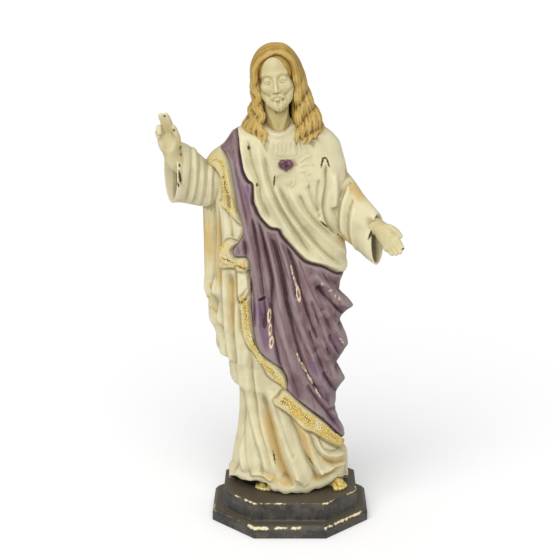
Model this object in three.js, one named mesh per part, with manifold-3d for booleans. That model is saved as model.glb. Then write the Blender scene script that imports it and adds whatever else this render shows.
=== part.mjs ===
// A robed devotional figure cast in one piece, standing on a two-tier octagonal plinth.
// Millimetres, +Z up. The figure faces -Y and the origin is the middle of the plinth's underside.
import * as THREE from 'three';
import { mergeVertices } from 'three/addons/utils/BufferGeometryUtils.js';
import Module from 'manifold-3d';

const wasm = await Module();
wasm.setup();

// Driving dimensions of the figure
const FIGURE_HEIGHT = 560;
const STANDING_GAP = 0.3;

// Driving dimensions of the plinth
const LOWER_TIER_HEIGHT = 16;
const UPPER_TIER_HEIGHT = 24;
const SIDE_LEDGE = 4;          // upper tier beyond the hem, at the sides
const FRONT_LEDGE = 19;        // upper tier beyond the hem, front and back
const SIDE_STEP = 14;          // lower tier beyond the upper one, at the sides
const FRONT_STEP = 17;         // lower tier beyond the upper one, front and back
const UPPER_CHAMFER = 40;      // leg of each corner cut
const LOWER_CHAMFER = 54;
const LOWER_BEVEL = 4;
const UPPER_BEVEL = 2;

// The carving is drawn on a figure 560 units tall, with its soles at height 0
const UNIT = FIGURE_HEIGHT / 560;

// Facets: everything is drawn fine, joined, and then simplified to this many
const FIGURE_FACETS = 9800;
const BODY_COLUMNS = 200;
const BODY_ROWS = 210;
const FRONT_CROWDING = 0.3;    // how much closer the columns stand at the front
const SLEEVE_SIDES = 40;
const HAIR_SIDES = 60;
const LOCK_SIDES = 10;
const FINGER_SIDES = 10;
const LIMB_STEPS = 5;

// Outline of the robe: [height, how far it reaches] at each turn of the silhouette
const LEFT_OUTLINE = [[0, 81], [20, 77], [50, 73], [90, 68], [125, 64], [142, 68], [153, 80], [174, 82],
  [184, 93], [216, 96], [237, 103], [258, 102], [280, 109], [360, 107], [412, 104], [422, 99], [432, 89],
  [440, 80], [455, 73], [461, 60], [467, 44], [472, 32]];
const RIGHT_OUTLINE = [[0, 76], [22, 75], [44, 74], [55, 65], [66, 70], [77, 66], [88, 59], [121, 58],
  [142, 69], [163, 60], [185, 72], [206, 68], [222, 63], [237, 78], [258, 63], [269, 62], [289, 70],
  [310, 68], [340, 68], [390, 70], [419, 65], [444, 59], [454, 51], [461, 42], [467, 26], [472, 4]];
const FRONT_OUTLINE = [[0, 50], [10, 51], [20, 50], [50, 48], [90, 46], [125, 46], [174, 50], [216, 53],
  [260, 54], [300, 52], [360, 50], [390, 48], [419, 42], [444, 33], [454, 30], [460, 20], [466, 10],
  [472, 4]];
const BACK_OUTLINE = [[0, 52], [20, 50], [50, 47], [90, 45], [145, 45], [216, 47], [260, 46], [300, 44],
  [360, 42], [419, 38], [444, 30], [461, 23], [472, 16]];
const CORE_LINE = [[0, 0], [210, 2], [420, -12], [472, -15]];
const SECTION_POWER = 2.3;     // between an ellipse, 2, and a rounded box
const FOOT_POWER = 1.6;        // the same at the ground, where the robe stands on a narrower front
const FOOT_RISE = 50;          // height over which the one turns into the other

// Hem: its height above the plinth across the front, the same at the back, and how far the robe is set back
// under it
const HEM_LINE = [[-80, 6], [-76, 10], [-61, 12], [-44, 13], [-36, 16], [-28, 14], [-23, 4.5], [-19, 3],
  [-9, 2.8], [0, 2], [13, 1.7], [25, 2], [38, 4.6], [48, 7.6], [53, 10.3], [63, 12.7], [72, 11], [76, 6]];
const BACK_HEM = 3;
const HEM_UNDERCUT = 6;

// Edges of the layers of cloth on the front, from the top down, as [x, height]
const MANTLE_EDGE = [[-86, 418], [-80, 390], [-64, 354], [-66, 330], [-85, 306], [-58, 292], [-50, 270],
  [-60, 254], [-57, 217], [-42, 186], [-24, 158], [-6, 140], [-14, 122], [2, 105], [22, 86], [48, 67],
  [68, 54]];
const CHEST_EDGE = [[-64, 459], [-59, 431], [-50, 403], [-43, 379], [-35, 359], [-13, 344], [12, 312],
  [42, 297], [61, 284], [74, 290]];
const BACK_EDGE = [[-82, 146], [-40, 115], [0, 85], [40, 62], [72, 56]];
const MANTLE_STEP = 4;
const MANTLE_BACK_END = 60;    // the mantle's lowest height at the back
const EDGE_ROUNDING = 4.5;
const LAYER_REACH = 30;        // how far in from its edge a layer has thinned to its inner half
const CHEST_STEP = 7;

// Folds: ridges stand up and grooves, with a minus, go in; [reach, height, points of the crest as x, height]
const FRONT_FOLDS = [
  // mantle, from the left drape's side across to the right hip
  [6, 4.0, [-49, 345], [-41, 294], [-37, 230], [-30, 196]],
  [6, -6.5, [-37, 350], [-23, 283], [-19, 211], [-6, 156]],
  [6, 5.0, [-30, 348], [-14, 270], [-4, 200], [10, 160]],
  [5, -6.5, [-18, 336], [-2, 272], [12, 196], [44, 118]],
  [6, 5.0, [-7, 322], [10, 250], [30, 186], [54, 128]],
  [5, -5.0, [6, 306], [22, 246], [38, 200]],
  [7, 5.0, [20, 300], [34, 250], [52, 206]],
  [6, 6.5, [40, 286], [56, 262], [74, 238]],
  [6, -6.5, [38, 262], [52, 242], [66, 222]],
  [6, 6.5, [44, 226], [58, 208], [70, 186]],
  [6, -6.5, [44, 202], [56, 180], [64, 162]],
  [6, 6.5, [42, 176], [56, 158], [68, 140]],
  [6, -6.5, [44, 148], [56, 126], [62, 106]],
  [6, 5.0, [34, 134], [50, 106], [64, 72]],
  // drape that hangs at the left
  [6, 5.0, [-98, 350], [-100, 290], [-94, 230]],
  [5, -9.0, [-88, 366], [-88, 290], [-78, 166]],
  [6, 5.0, [-76, 347], [-74, 250], [-68, 160]],
  [5, -6.5, [-66, 290], [-66, 220], [-60, 156]],
  // tunic below the mantle
  [7, 5.0, [-54, 210], [-52, 130], [-36, 40]],
  [6, -6.5, [-46, 186], [-40, 120], [-22, 24]],
  [7, 5.0, [-38, 160], [-30, 110], [-8, 20]],
  [7, -8.0, [-28, 128], [-18, 70], [2, 12]],
  [8, 5.0, [-10, 104], [2, 58], [14, 12]],
  [6, -6.5, [4, 100], [18, 56], [32, 16]],
  [7, 5.0, [18, 78], [34, 44], [64, 24]],
  [6, -5.0, [32, 76], [46, 52], [70, 40]],
  [6, -5.0, [-64, 100], [-62, 60], [-56, 24]],
  // tunic over the chest, gathered toward the right hip
  [6, 4.0, [-46, 437], [-40, 410], [-28, 370]],
  [6, -5.0, [-36, 440], [-28, 396], [-4, 346]],
  [7, 5.0, [-24, 436], [-16, 396], [6, 344]],
  [6, -5.0, [-12, 400], [6, 360], [40, 312]],
  [7, 5.0, [2, 392], [22, 352], [54, 312]],
  [5, -5.0, [40, 428], [38, 385], [46, 346]],
];
const BACK_FOLDS = [
  [14, 6, [-34, 440], [20, 360], [62, 262]],
  [12, -5, [-50, 430], [0, 330], [54, 200]],
  [14, 6, [-62, 420], [-20, 300], [46, 130]],
  [12, -5, [-72, 400], [-40, 280], [14, 120]],
  [14, 6, [-82, 380], [-62, 240], [-20, 110]],
  [11, -5, [-92, 340], [-82, 230], [-56, 120]],
  [12, 5, [-50, 110], [-44, 50], [-38, 8]],
  [11, -5, [-28, 100], [-22, 50], [-18, 8]],
  [12, 5, [-4, 80], [0, 40], [2, 8]],
  [11, -5, [22, 66], [24, 40], [26, 8]],
  [12, 5, [46, 60], [48, 36], [50, 8]],
];

// Broad forms under the cloth: [x, height, reach, rise]
const BROAD_FORMS = [[-14, 196, 44, 5], [-20, 400, 40, 3], [30, 392, 34, 3], [4, 320, 40, -3]];

function smoothstep(from, to, value) {
  const t = Math.min(1, Math.max(0, (value - from) / (to - from)));
  return t * t * (3 - 2 * t);
}

// Value of a [place, value] outline at a place, straight from point to point
function along(outline, place) {
  const next = outline.findIndex(([at]) => at >= place);
  if (next === 0) return outline[0][1];
  if (next < 0) return outline[outline.length - 1][1];
  const [[a, valueA], [b, valueB]] = [outline[next - 1], outline[next]];
  return valueA + (valueB - valueA) * (place - a) / (b - a);
}

// A smooth line through a few points, cut into short straight pieces
function drawnLine(points, pieces = 6) {
  const curve = new THREE.SplineCurve(points.map(([x, z]) => new THREE.Vector2(x, z)));
  return curve.getPoints(pieces * (points.length - 1));
}

// Distance from a point to a line, its sign (plus to the right of the way down) and how far along it is
function nearest(line, x, z) {
  let best = { distance: Infinity, side: 1, share: 0 };
  for (let i = 0; i + 1 < line.length; i += 1) {
    const [a, b] = [line[i], line[i + 1]];
    const [dx, dz] = [b.x - a.x, b.y - a.y];
    const t = Math.min(1, Math.max(0, ((x - a.x) * dx + (z - a.y) * dz) / (dx * dx + dz * dz)));
    const [offX, offZ] = [x - a.x - t * dx, z - a.y - t * dz];
    const distance = Math.hypot(offX, offZ);
    if (distance < best.distance) {
      const side = dx * offZ - dz * offX >= 0 ? 1 : -1;
      best = { distance, side, share: (i + t) / (line.length - 1) };
    }
  }
  return best;
}

const mantleEdge = drawnLine(MANTLE_EDGE);
const chestEdge = drawnLine(CHEST_EDGE);
const backEdge = drawnLine(BACK_EDGE);
const readFolds = (folds) => folds.map(([reach, height, ...points]) => (
  { reach, height, line: drawnLine(points) }));
const frontFolds = readFolds(FRONT_FOLDS);
const backFolds = readFolds(BACK_FOLDS);

// Rise of all the folds of one side at a point, each dying away at both its ends
function foldRise(folds, x, z) {
  let rise = 0;
  for (const { reach, height, line } of folds) {
    const { distance, share } = nearest(line, x, z);
    const fade = smoothstep(0, 0.2, share) * smoothstep(1, 0.85, share);
    rise += height * fade * Math.exp(-((distance / reach) ** 2));
  }
  return rise;
}

// Height of a layer of cloth beyond its edge: full at the edge, and half far inside it
function layerRise(line, x, z, step) {
  const { distance, side } = nearest(line, x, z);
  if (side < 0) return 0;
  const thinned = 0.5 + 0.5 * Math.exp(-distance / LAYER_REACH);
  return step * thinned * smoothstep(0, EDGE_ROUNDING, distance);
}

function frontRise(x, z) {
  let rise = foldRise(frontFolds, x, z);
  rise += layerRise(mantleEdge, x, z, MANTLE_STEP);
  rise += layerRise(chestEdge, x, z, CHEST_STEP);
  for (const [formX, formZ, reach, height] of BROAD_FORMS) {
    rise += height * Math.exp(-((x - formX) ** 2 + (z - formZ) ** 2) / reach ** 2);
  }
  return rise;
}

function backRise(x, z) {
  const above = z > MANTLE_BACK_END ? layerRise(backEdge, x, z, MANTLE_STEP) : 0;
  return foldRise(backFolds, x, z) + above;
}

// Point of the robe at an angle (0 at +X, a quarter turn at the back) and a height
function robePoint(angle, z, inset) {
  const core = along(CORE_LINE, z);
  const [c, s] = [Math.cos(angle), Math.sin(angle)];
  const reachX = (c > 0 ? along(RIGHT_OUTLINE, z) - core : along(LEFT_OUTLINE, z) + core) - inset;
  const reachY = (s > 0 ? along(BACK_OUTLINE, z) : along(FRONT_OUTLINE, z)) - inset;
  const power = FOOT_POWER + (SECTION_POWER - FOOT_POWER) * smoothstep(0, FOOT_RISE, z);
  const bend = (value) => Math.sign(value) * Math.abs(value) ** (2 / power);
  const [x, y] = [core + reachX * bend(c), reachY * bend(s)];
  const facing = Math.abs(s) ** 0.7;
  const rise = (s < 0 ? frontRise(x, z) : backRise(x, z)) * smoothstep(0.12, 0.6, facing);
  const outward = new THREE.Vector2(c / reachX, s / reachY).normalize();
  return new THREE.Vector3(x + outward.x * rise, y + outward.y * rise, z);
}

// Closed mesh through rings of equally many points, with both ends filled from their middles
function loft(rings) {
  const sides = rings[0].length;
  const middle = (ring) => ring.reduce((sum, p) => sum.add(p), new THREE.Vector3()).divideScalar(sides);
  const points = [...rings.flat(), middle(rings[0]), middle(rings[rings.length - 1])];
  const [first, last] = [rings.length * sides, rings.length * sides + 1];
  const faces = [];
  for (let side = 0; side < sides; side += 1) {
    const next = (side + 1) % sides;
    for (let ring = 0; ring + 1 < rings.length; ring += 1) {
      const [a, b] = [ring * sides + side, ring * sides + next];
      faces.push(a, b, b + sides, a, b + sides, a + sides);
    }
    const top = (rings.length - 1) * sides;
    faces.push(first, next, side, last, top + side, top + next);
  }
  return solid(points, faces);
}

// Closed mesh from points and faces, turned inside out where its volume comes out negative
function solid(points, faces) {
  let volume = 0;
  for (let i = 0; i < faces.length; i += 3) {
    const [a, b, c] = [points[faces[i]], points[faces[i + 1]], points[faces[i + 2]]];
    volume += a.dot(new THREE.Vector3().crossVectors(b, c));
  }
  const vertProperties = Float32Array.from(points.flatMap((p) => [p.x, p.y, p.z]));
  const triVerts = Uint32Array.from(volume > 0 ? faces : faces.toReversed());
  return new wasm.Manifold(new wasm.Mesh({ numProp: 3, vertProperties, triVerts }));
}

// Solid from one of three's own geometries, with the vertices of its facets merged
function fromGeometry(geometry) {
  geometry.deleteAttribute('normal');
  geometry.deleteAttribute('uv');
  const { attributes, index } = mergeVertices(geometry, 1e-4);
  const points = Array.from({ length: attributes.position.count }, (_, vertex) => (
    new THREE.Vector3().fromBufferAttribute(attributes.position, vertex)));
  return solid(points, Array.from(index.array));
}

function robe() {
  const top = RIGHT_OUTLINE[RIGHT_OUTLINE.length - 1][0];
  const angles = Array.from({ length: BODY_COLUMNS }, (_, column) => {
    const turn = 2 * Math.PI * column / BODY_COLUMNS;
    return turn - FRONT_CROWDING * Math.sin(turn) - Math.PI / 2;
  });
  const hemAt = (angle) => {
    if (Math.sin(angle) >= 0) return BACK_HEM;
    return along(HEM_LINE, robePoint(angle, 0, 0).x);
  };
  const rings = [
    angles.map((angle) => robePoint(angle, 0, HEM_UNDERCUT)),
    angles.map((angle) => robePoint(angle, hemAt(angle), HEM_UNDERCUT)),
  ];
  for (let row = 0; row < BODY_ROWS; row += 1) {
    const share = row / (BODY_ROWS - 1);
    rings.push(angles.map((angle) => robePoint(angle, (hemAt(angle) + 1) * (1 - share) + top * share, 0)));
  }
  return loft(rings);
}

// Stations filled in between by a smooth curve through each of their numbers
function smoothRun(stations, steps) {
  const at = (index) => stations[Math.min(stations.length - 1, Math.max(0, index))];
  const run = [];
  for (let low = 0; low + 1 < stations.length; low += 1) {
    for (let step = 0; step < steps; step += 1) {
      const t = step / steps;
      const [a, b, c, d] = [at(low - 1), at(low), at(low + 1), at(low + 2)];
      run.push(b.map((value, i) => value + 0.5 * t * (c[i] - a[i]
        + t * (2 * a[i] - 5 * value + 4 * c[i] - d[i] + t * (3 * (value - c[i]) + d[i] - a[i])))));
    }
  }
  return [...run, stations[stations.length - 1]];
}

// Upright ring of points about a centre, square to a level heading, with pleats round it
function uprightRing([x, y, z, heading, halfWidth, halfHeight], pleat, phase) {
  const across = new THREE.Vector3(-Math.sin(heading), Math.cos(heading), 0);
  return Array.from({ length: SLEEVE_SIDES }, (_, side) => {
    const turn = 2 * Math.PI * side / SLEEVE_SIDES;
    const swell = 1 - pleat * Math.sin(SLEEVE_PLEATS * turn / 2 + phase) ** 8;
    const point = new THREE.Vector3(x, y, z).addScaledVector(across, halfWidth * swell * Math.cos(turn));
    point.z += halfHeight * swell * Math.sin(turn);
    return point;
  });
}

// Wide sleeve through stations [x, y, z, heading, half width, half height], then the hollow of its cuff
function sleeve(stations) {
  const run = smoothRun(stations, SLEEVE_STEPS);
  const rings = run.map((station, index) => {
    const share = index / (run.length - 1);
    const pleat = PLEAT_DEPTH * smoothstep(0, 0.3, share) * smoothstep(1, 0.8, share);
    return uprightRing(station, pleat, 2 * share);
  });
  const [x, y, z, heading, width, height] = stations[stations.length - 1];
  rings.push(uprightRing([x, y, z, heading, width - CUFF_WALL, height - CUFF_WALL], 0, 0));
  const [backX, backY] = [x - CUFF_DEPTH * Math.cos(heading), y - CUFF_DEPTH * Math.sin(heading)];
  rings.push(uprightRing([backX, backY, z, heading, width * CUFF_BACK[0], height * CUFF_BACK[1]], 0, 0));
  return loft(rings);
}

// Limb, finger or lock of hair: a tube with rounded ends through stations [x, y, z, radius]
function limb(stations, sides, flatness = 1) {
  const run = smoothRun(stations, LIMB_STEPS);
  const last = run.length - 1;
  const curve = new THREE.CatmullRomCurve3(run.map(([x, y, z]) => new THREE.Vector3(x, y, z)));
  const frames = curve.computeFrenetFrames(last, false);
  const ringAt = (step, share) => tubeRing(run[step], frames, step, sides, flatness, share);
  const body = run.map((_, step) => ringAt(step, 0));
  return loft([ringAt(0, -0.75), ringAt(0, -0.35), ...body, ringAt(last, 0.35), ringAt(last, 0.75)]);
}

// Ring of a tube at one of its steps, or a share of a radius beyond it on the rounded end
function tubeRing([x, y, z, radius], frames, step, sides, flatness, share) {
  const middle = new THREE.Vector3(x, y, z).addScaledVector(frames.tangents[step], share * radius);
  const reach = radius * Math.sqrt(1 - share ** 2);
  return Array.from({ length: sides }, (_, side) => {
    const turn = 2 * Math.PI * side / sides;
    return middle.clone()
      .addScaledVector(frames.normals[step], reach * Math.cos(turn))
      .addScaledVector(frames.binormals[step], reach * flatness * Math.sin(turn));
  });
}

// Ball with its own three radii, turned about its centre and reshaped by a function of the point on it
function ball([x, y, z], radii, turns, segments, reshape = (point) => point) {
  const geometry = new THREE.SphereGeometry(1, ...segments);
  geometry.rotateX(Math.PI / 2);
  const place = new THREE.Matrix4().makeRotationFromEuler(new THREE.Euler(...turns));
  place.setPosition(x, y, z);
  const { position } = geometry.attributes;
  const size = new THREE.Vector3(...radii);
  for (let vertex = 0; vertex < position.count; vertex += 1) {
    const point = new THREE.Vector3().fromBufferAttribute(position, vertex).multiply(size);
    position.setXYZ(vertex, ...reshape(point).applyMatrix4(place));
  }
  return fromGeometry(geometry);
}

const RAISED_SLEEVE = [
  [-66, -4, 398, Math.PI, 22, 24], [-86, -6, 396, Math.PI, 25, 28], [-101, -14, 394, Math.PI + 0.2, 24, 29],
  [-116, -24, 404, Math.PI + 0.35, 22, 35], [-131, -34, 411, Math.PI + 0.45, 21, 37],
  [-141, -41, 413, Math.PI + 0.48, 21, 38]];
const LOWERED_SLEEVE = [
  [38, -2, 390, -0.6, 26, 34], [54, -10, 376, -0.6, 27, 40], [70, -21, 364, -0.62, 24, 38],
  [83, -32, 352, -0.64, 20, 35], [95, -43, 341, -0.64, 17, 34], [104, -52, 334, -0.64, 15, 32]];
const SLEEVE_STEPS = 6;
const SLEEVE_PLEATS = 6;
const PLEAT_DEPTH = 0.16;
const CUFF_DEPTH = 18;
const CUFF_WALL = 3;
const CUFF_BACK = [0.6, 0.72];    // shares of the cuff's width and height that the hollow ends with

// Raised hand: palm to the front, two fingers up, two bent over, thumb along the side
function raisedHand() {
  return [
    limb([[-112, -32, 416, 11], [-126, -42, 424, 10], [-138, -50, 436, 8.5], [-141, -54, 450, 9]], 16, 0.8),
    ball([-142, -58, 458], [12, 7, 16], [0.15, 0.1, 0], [24, 16]),
    limb([[-146, -61, 466, 4.2], [-149, -65, 476, 4], [-148, -68, 486, 3.6]], FINGER_SIDES),
    limb([[-141, -61, 466, 4.2], [-144, -65, 477, 4], [-143, -68, 487, 3.2]], FINGER_SIDES),
    limb([[-151, -60, 462, 3.8], [-154, -66, 468, 3.6], [-152, -71, 462, 3.4]], FINGER_SIDES),
    limb([[-136, -60, 458, 4.4], [-134, -66, 468, 4], [-137, -68, 478, 3.4]], FINGER_SIDES),
  ];
}

// Lowered hand: open palm, fingers together and pointing out and down, thumb on top
function loweredHand() {
  const reach = [0, 5, 10, 15];
  const fingers = reach.map((drop, index) => limb([
    [116 - drop * 0.5, -84, 350 - drop * 0.75, 4], [124 - drop * 0.45, -92, 342 - drop * 0.7, 3.8],
    [131 - drop * 0.5 - index * 0.4, -98, 334 - drop * 0.55, 3]], FINGER_SIDES));
  return [
    limb([[88, -46, 350, 10], [98, -58, 354, 9], [107, -68, 352, 8.5], [112, -76, 348, 9]], 16, 0.8),
    ball([112, -78, 339], [14, 8, 13], [0.3, 0.6, 0.6], [24, 16]),
    limb([[112, -72, 354, 4.6], [122, -80, 355, 4.2], [130, -86, 348, 3.2]], FINGER_SIDES),
    ...fingers,
  ];
}

// Small heart in relief on the breast, lying back with the chest
const HEART = { width: 20, height: 15, depth: 7, x: -2, y: -45, z: 421, lean: -0.27 };

function breastHeart() {
  const [half, tall] = [HEART.width / 2, HEART.height];
  const outline = new THREE.Shape();
  outline.moveTo(0, -0.5 * tall);
  outline.bezierCurveTo(-0.5 * half, -0.3 * tall, -half, 0, -half, 0.25 * tall);
  outline.bezierCurveTo(-half, 0.6 * tall, -0.2 * half, 0.6 * tall, 0, 0.3 * tall);
  outline.bezierCurveTo(0.2 * half, 0.6 * tall, half, 0.6 * tall, half, 0.25 * tall);
  outline.bezierCurveTo(half, 0, 0.5 * half, -0.3 * tall, 0, -0.5 * tall);
  const geometry = new THREE.ExtrudeGeometry(outline, {
    depth: HEART.depth - 1,
    curveSegments: 6,
    bevelThickness: 1,
    bevelSize: 1,
    bevelOffset: -1,
    bevelSegments: 2,
  });
  geometry.rotateX(Math.PI / 2 + HEART.lean);
  geometry.translate(HEART.x, HEART.y, HEART.z);
  return fromGeometry(geometry);
}

// Head: a plain balanced face between long hair, with a short beard
const HEAD_CENTRE = [-17, -8, 524];
const HEAD_RADII = [22, 27, 33];
const HEAD_TURNS = [0.1, -0.14, -0.06];
const NECK = [[-13, -12, 450, 17], [-14, -10, 463, 15.5], [-16, -8, 480, 14.5], [-17, -4, 502, 14]];
const NECK_SIDES = 24;

function facePoint(point) {
  const front = smoothstep(0, -18, point.y);
  const jaw = smoothstep(4, -33, point.z);
  point.x *= 1 - 0.22 * jaw * front;
  const bump = (x, z, width, height, rise) => (
    rise * Math.exp(-(((point.x - x) / width) ** 2) - (((point.z - z) / height) ** 2)));
  let rise = bump(0, -3, 2.8, 7, 5) + bump(0, -9, 4, 3, 4);
  rise += bump(-9, 7, 7, 2.6, 2) + bump(9, 7, 7, 2.6, 2);
  rise -= bump(-9, 1, 5, 3.2, 3.4) + bump(9, 1, 5, 3.2, 3.4);
  rise += bump(-9, 0.5, 3, 1.6, 1.6) + bump(9, 0.5, 3, 1.6, 1.6);
  rise += bump(0, -14.5, 8, 2, 2.4) - bump(0, -17.5, 5, 1, 1.2) + bump(0, -19.5, 4, 1.6, 1.6);
  rise += bump(0, -27, 10, 7, 7) + bump(-11, -20, 5, 8, 3) + bump(11, -20, 5, 8, 3);
  point.y -= rise * front;
  return point;
}

// Masses of hair beside the face and behind the head, as [x, y, z, half width, half depth] from the top down
const HAIR_MASSES = [
  [[-26, -4, 553, 8, 14], [-37, -4, 536, 12, 20], [-40, -4, 512, 10, 18], [-37, -4, 493, 10, 18],
    [-43, -6, 473, 13, 20], [-50, -8, 457, 17, 22], [-48, -14, 446, 14, 20]],
  [[-8, -4, 555, 8, 14], [1, -4, 538, 11, 20], [9, -4, 518, 9, 18], [12, -4, 497, 10, 18],
    [19, -6, 478, 13, 20], [25, -8, 461, 15, 22], [25, -14, 446, 12, 20]],
  [[-16, 14, 554, 16, 12], [-17, 20, 528, 26, 15], [-17, 20, 498, 28, 15], [-16, 22, 468, 38, 13],
    [-16, 25, 444, 32, 9]],
];
const CROWN_CENTRE = [-19, -2, 530];
const CROWN_RADII = [28, 28, 30];
const LOBES = 9;
const LOBE_DEPTH = 0.24;
const LOCK_WAVE = 0.6;
const LOCK_WAVE_LENGTH = 8;
const HAIR_STEPS = 7;

// Single locks that part from the masses and curl at their ends, as [x, y, z, radius]
const LOCKS = [
  [[-14, -24, 554, 3], [-28, -26, 546, 5], [-37, -22, 530, 5.5], [-35, -18, 508, 5], [-34, -20, 486, 4]],
  [[-14, -24, 554, 3], [-2, -26, 546, 5], [4, -22, 530, 5.5], [4, -18, 510, 5], [6, -20, 488, 4]],
  [[-44, -22, 466, 6], [-40, -32, 450, 6], [-33, -38, 440, 5], [-36, -40, 434, 3]],
  [[-56, -16, 462, 6], [-62, -18, 448, 6], [-58, -26, 440, 3.5]],
  [[16, -22, 470, 6], [20, -32, 452, 6], [24, -38, 438, 5], [21, -40, 430, 3]],
  [[28, -18, 462, 6], [34, -24, 448, 6], [33, -31, 436, 3.5]],
];

function hairMass(stations) {
  return loft(smoothRun(stations, HAIR_STEPS).map(([x, y, z, width, depth]) => (
    Array.from({ length: HAIR_SIDES }, (_, side) => {
      const turn = 2 * Math.PI * side / HAIR_SIDES;
      const wave = LOCK_WAVE * Math.sin(z / LOCK_WAVE_LENGTH);
      const swell = 1 - LOBE_DEPTH * (1 - Math.abs(Math.sin(LOBES * turn / 2 + wave))) ** 2;
      return new THREE.Vector3(x + width * swell * Math.cos(turn), y + depth * swell * Math.sin(turn), z);
    }))));
}

function hair() {
  const locks = LOCKS.map((stations) => limb(stations, LOCK_SIDES, 0.85));
  return [ball(CROWN_CENTRE, CROWN_RADII, HEAD_TURNS, [48, 30]), ...HAIR_MASSES.map(hairMass), ...locks];
}

function head() {
  return [ball(HEAD_CENTRE, HEAD_RADII, HEAD_TURNS, [72, 60], facePoint), limb(NECK, NECK_SIDES)];
}

// Foot with a blunt front edge that swells into five toes
const FOOT = { length: 22, width: 9, height: 12, toes: 5 };
const TOE_BLUNTNESS = 0.55;    // 1 leaves the front of the foot round
const TOE_SWELL = 0.05;
const TOE_DROP = 0.3;          // share of the height that is lost toward the toes
const LEFT_FOOT = { place: [-33, -18], heading: -0.1 };
const RIGHT_FOOT = { place: [60, -17], heading: 0.35 };

function foot({ place: [x, y], heading }) {
  const shape = (point) => {
    const front = smoothstep(0, -FOOT.length, point.y);
    const back = Math.abs(point.y) / FOOT.length;
    const blunt = FOOT.length * (point.y < 0 ? -(back ** TOE_BLUNTNESS) : back);
    const across = point.x / FOOT.width;
    point.y = blunt * (1 + TOE_SWELL * front * Math.cos(Math.PI * (FOOT.toes * across + 1) / 2));
    point.z = Math.max(0, point.z * (1 - TOE_DROP * front));
    return point;
  };
  return ball([x, y, 0], [FOOT.width, FOOT.length, FOOT.height], [0, 0, heading], [60, 16], shape);
}

// Error of a surface moved to a point, kept per vertex as the ten sums of a quadric
const QUADRIC = 10;
const LENGTH_WEIGHT = 1e-4;    // of an edge's squared length beside the error of its loss
const THINNEST_FACET = 0.02;   // twice its area over its longest edge squared
const LARGEST_TURN = 0.3;      // cosine of the most that a facet may turn

function addPlane(quadrics, vertex, [a, b, c, d], weight) {
  const terms = [a * a, a * b, a * c, a * d, b * b, b * c, b * d, c * c, c * d, d * d];
  terms.forEach((term, index) => { quadrics[vertex * QUADRIC + index] += term * weight; });
}

function quadricError(q, x, y, z) {
  return q[0] * x * x + 2 * q[1] * x * y + 2 * q[2] * x * z + 2 * q[3] * x + q[4] * y * y
    + 2 * q[5] * y * z + 2 * q[6] * y + q[7] * z * z + 2 * q[8] * z + q[9];
}

// Place of least error for the vertex that replaces an edge: between its ends, or off it where that is better
function mergedPlace(q, from, to) {
  const matrix = new THREE.Matrix3().set(q[0], q[1], q[2], q[1], q[4], q[5], q[2], q[5], q[7]);
  const middle = from.clone().lerp(to, 0.5);
  const choices = [from, to, middle];
  if (Math.abs(matrix.determinant()) > 1e-6 * (q[0] + q[4] + q[7]) ** 3) {
    const best = new THREE.Vector3(-q[3], -q[6], -q[8]).applyMatrix3(matrix.clone().invert());
    if (best.distanceTo(middle) < from.distanceTo(to)) choices.push(best);
  }
  const errors = choices.map((p) => quadricError(q, p.x, p.y, p.z));
  const least = errors.indexOf(Math.min(...errors));
  return { place: choices[least], error: Math.max(0, errors[least]) };
}

// Smallest-first queue of edges
class EdgeQueue {
  constructor() { this.items = []; }

  push(item) {
    const { items } = this;
    let at = items.push(item) - 1;
    while (at > 0) {
      const parent = (at - 1) >> 1;
      if (items[parent].error <= item.error) break;
      items[at] = items[parent];
      at = parent;
    }
    items[at] = item;
  }

  pop() {
    const { items } = this;
    const [first, last] = [items[0], items.pop()];
    if (items.length === 0) return first;
    let at = 0;
    for (;;) {
      let child = 2 * at + 1;
      if (child >= items.length) break;
      if (child + 1 < items.length && items[child + 1].error < items[child].error) child += 1;
      if (items[child].error >= last.error) break;
      items[at] = items[child];
      at = child;
    }
    items[at] = last;
    return first;
  }
}

// The outermost skin of the joined shapes, without the small hollows that they shut in between them
function outerSkin(faces, pointCount) {
  const parent = Array.from({ length: pointCount }, (_, vertex) => vertex);
  const root = (vertex) => {
    let at = vertex;
    while (parent[at] !== at) at = parent[at];
    let step = vertex;
    while (step !== at) {
      const next = parent[step];
      parent[step] = at;
      step = next;
    }
    return at;
  };
  for (const [a, b, c] of faces) {
    parent[root(a)] = root(b);
    parent[root(b)] = root(c);
  }
  const sizes = new Map();
  for (const [vertex] of faces) sizes.set(root(vertex), (sizes.get(root(vertex)) ?? 0) + 1);
  const [largest] = [...sizes].reduce((best, next) => (next[1] > best[1] ? next : best));
  return faces.filter(([vertex]) => root(vertex) === largest);
}

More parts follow.
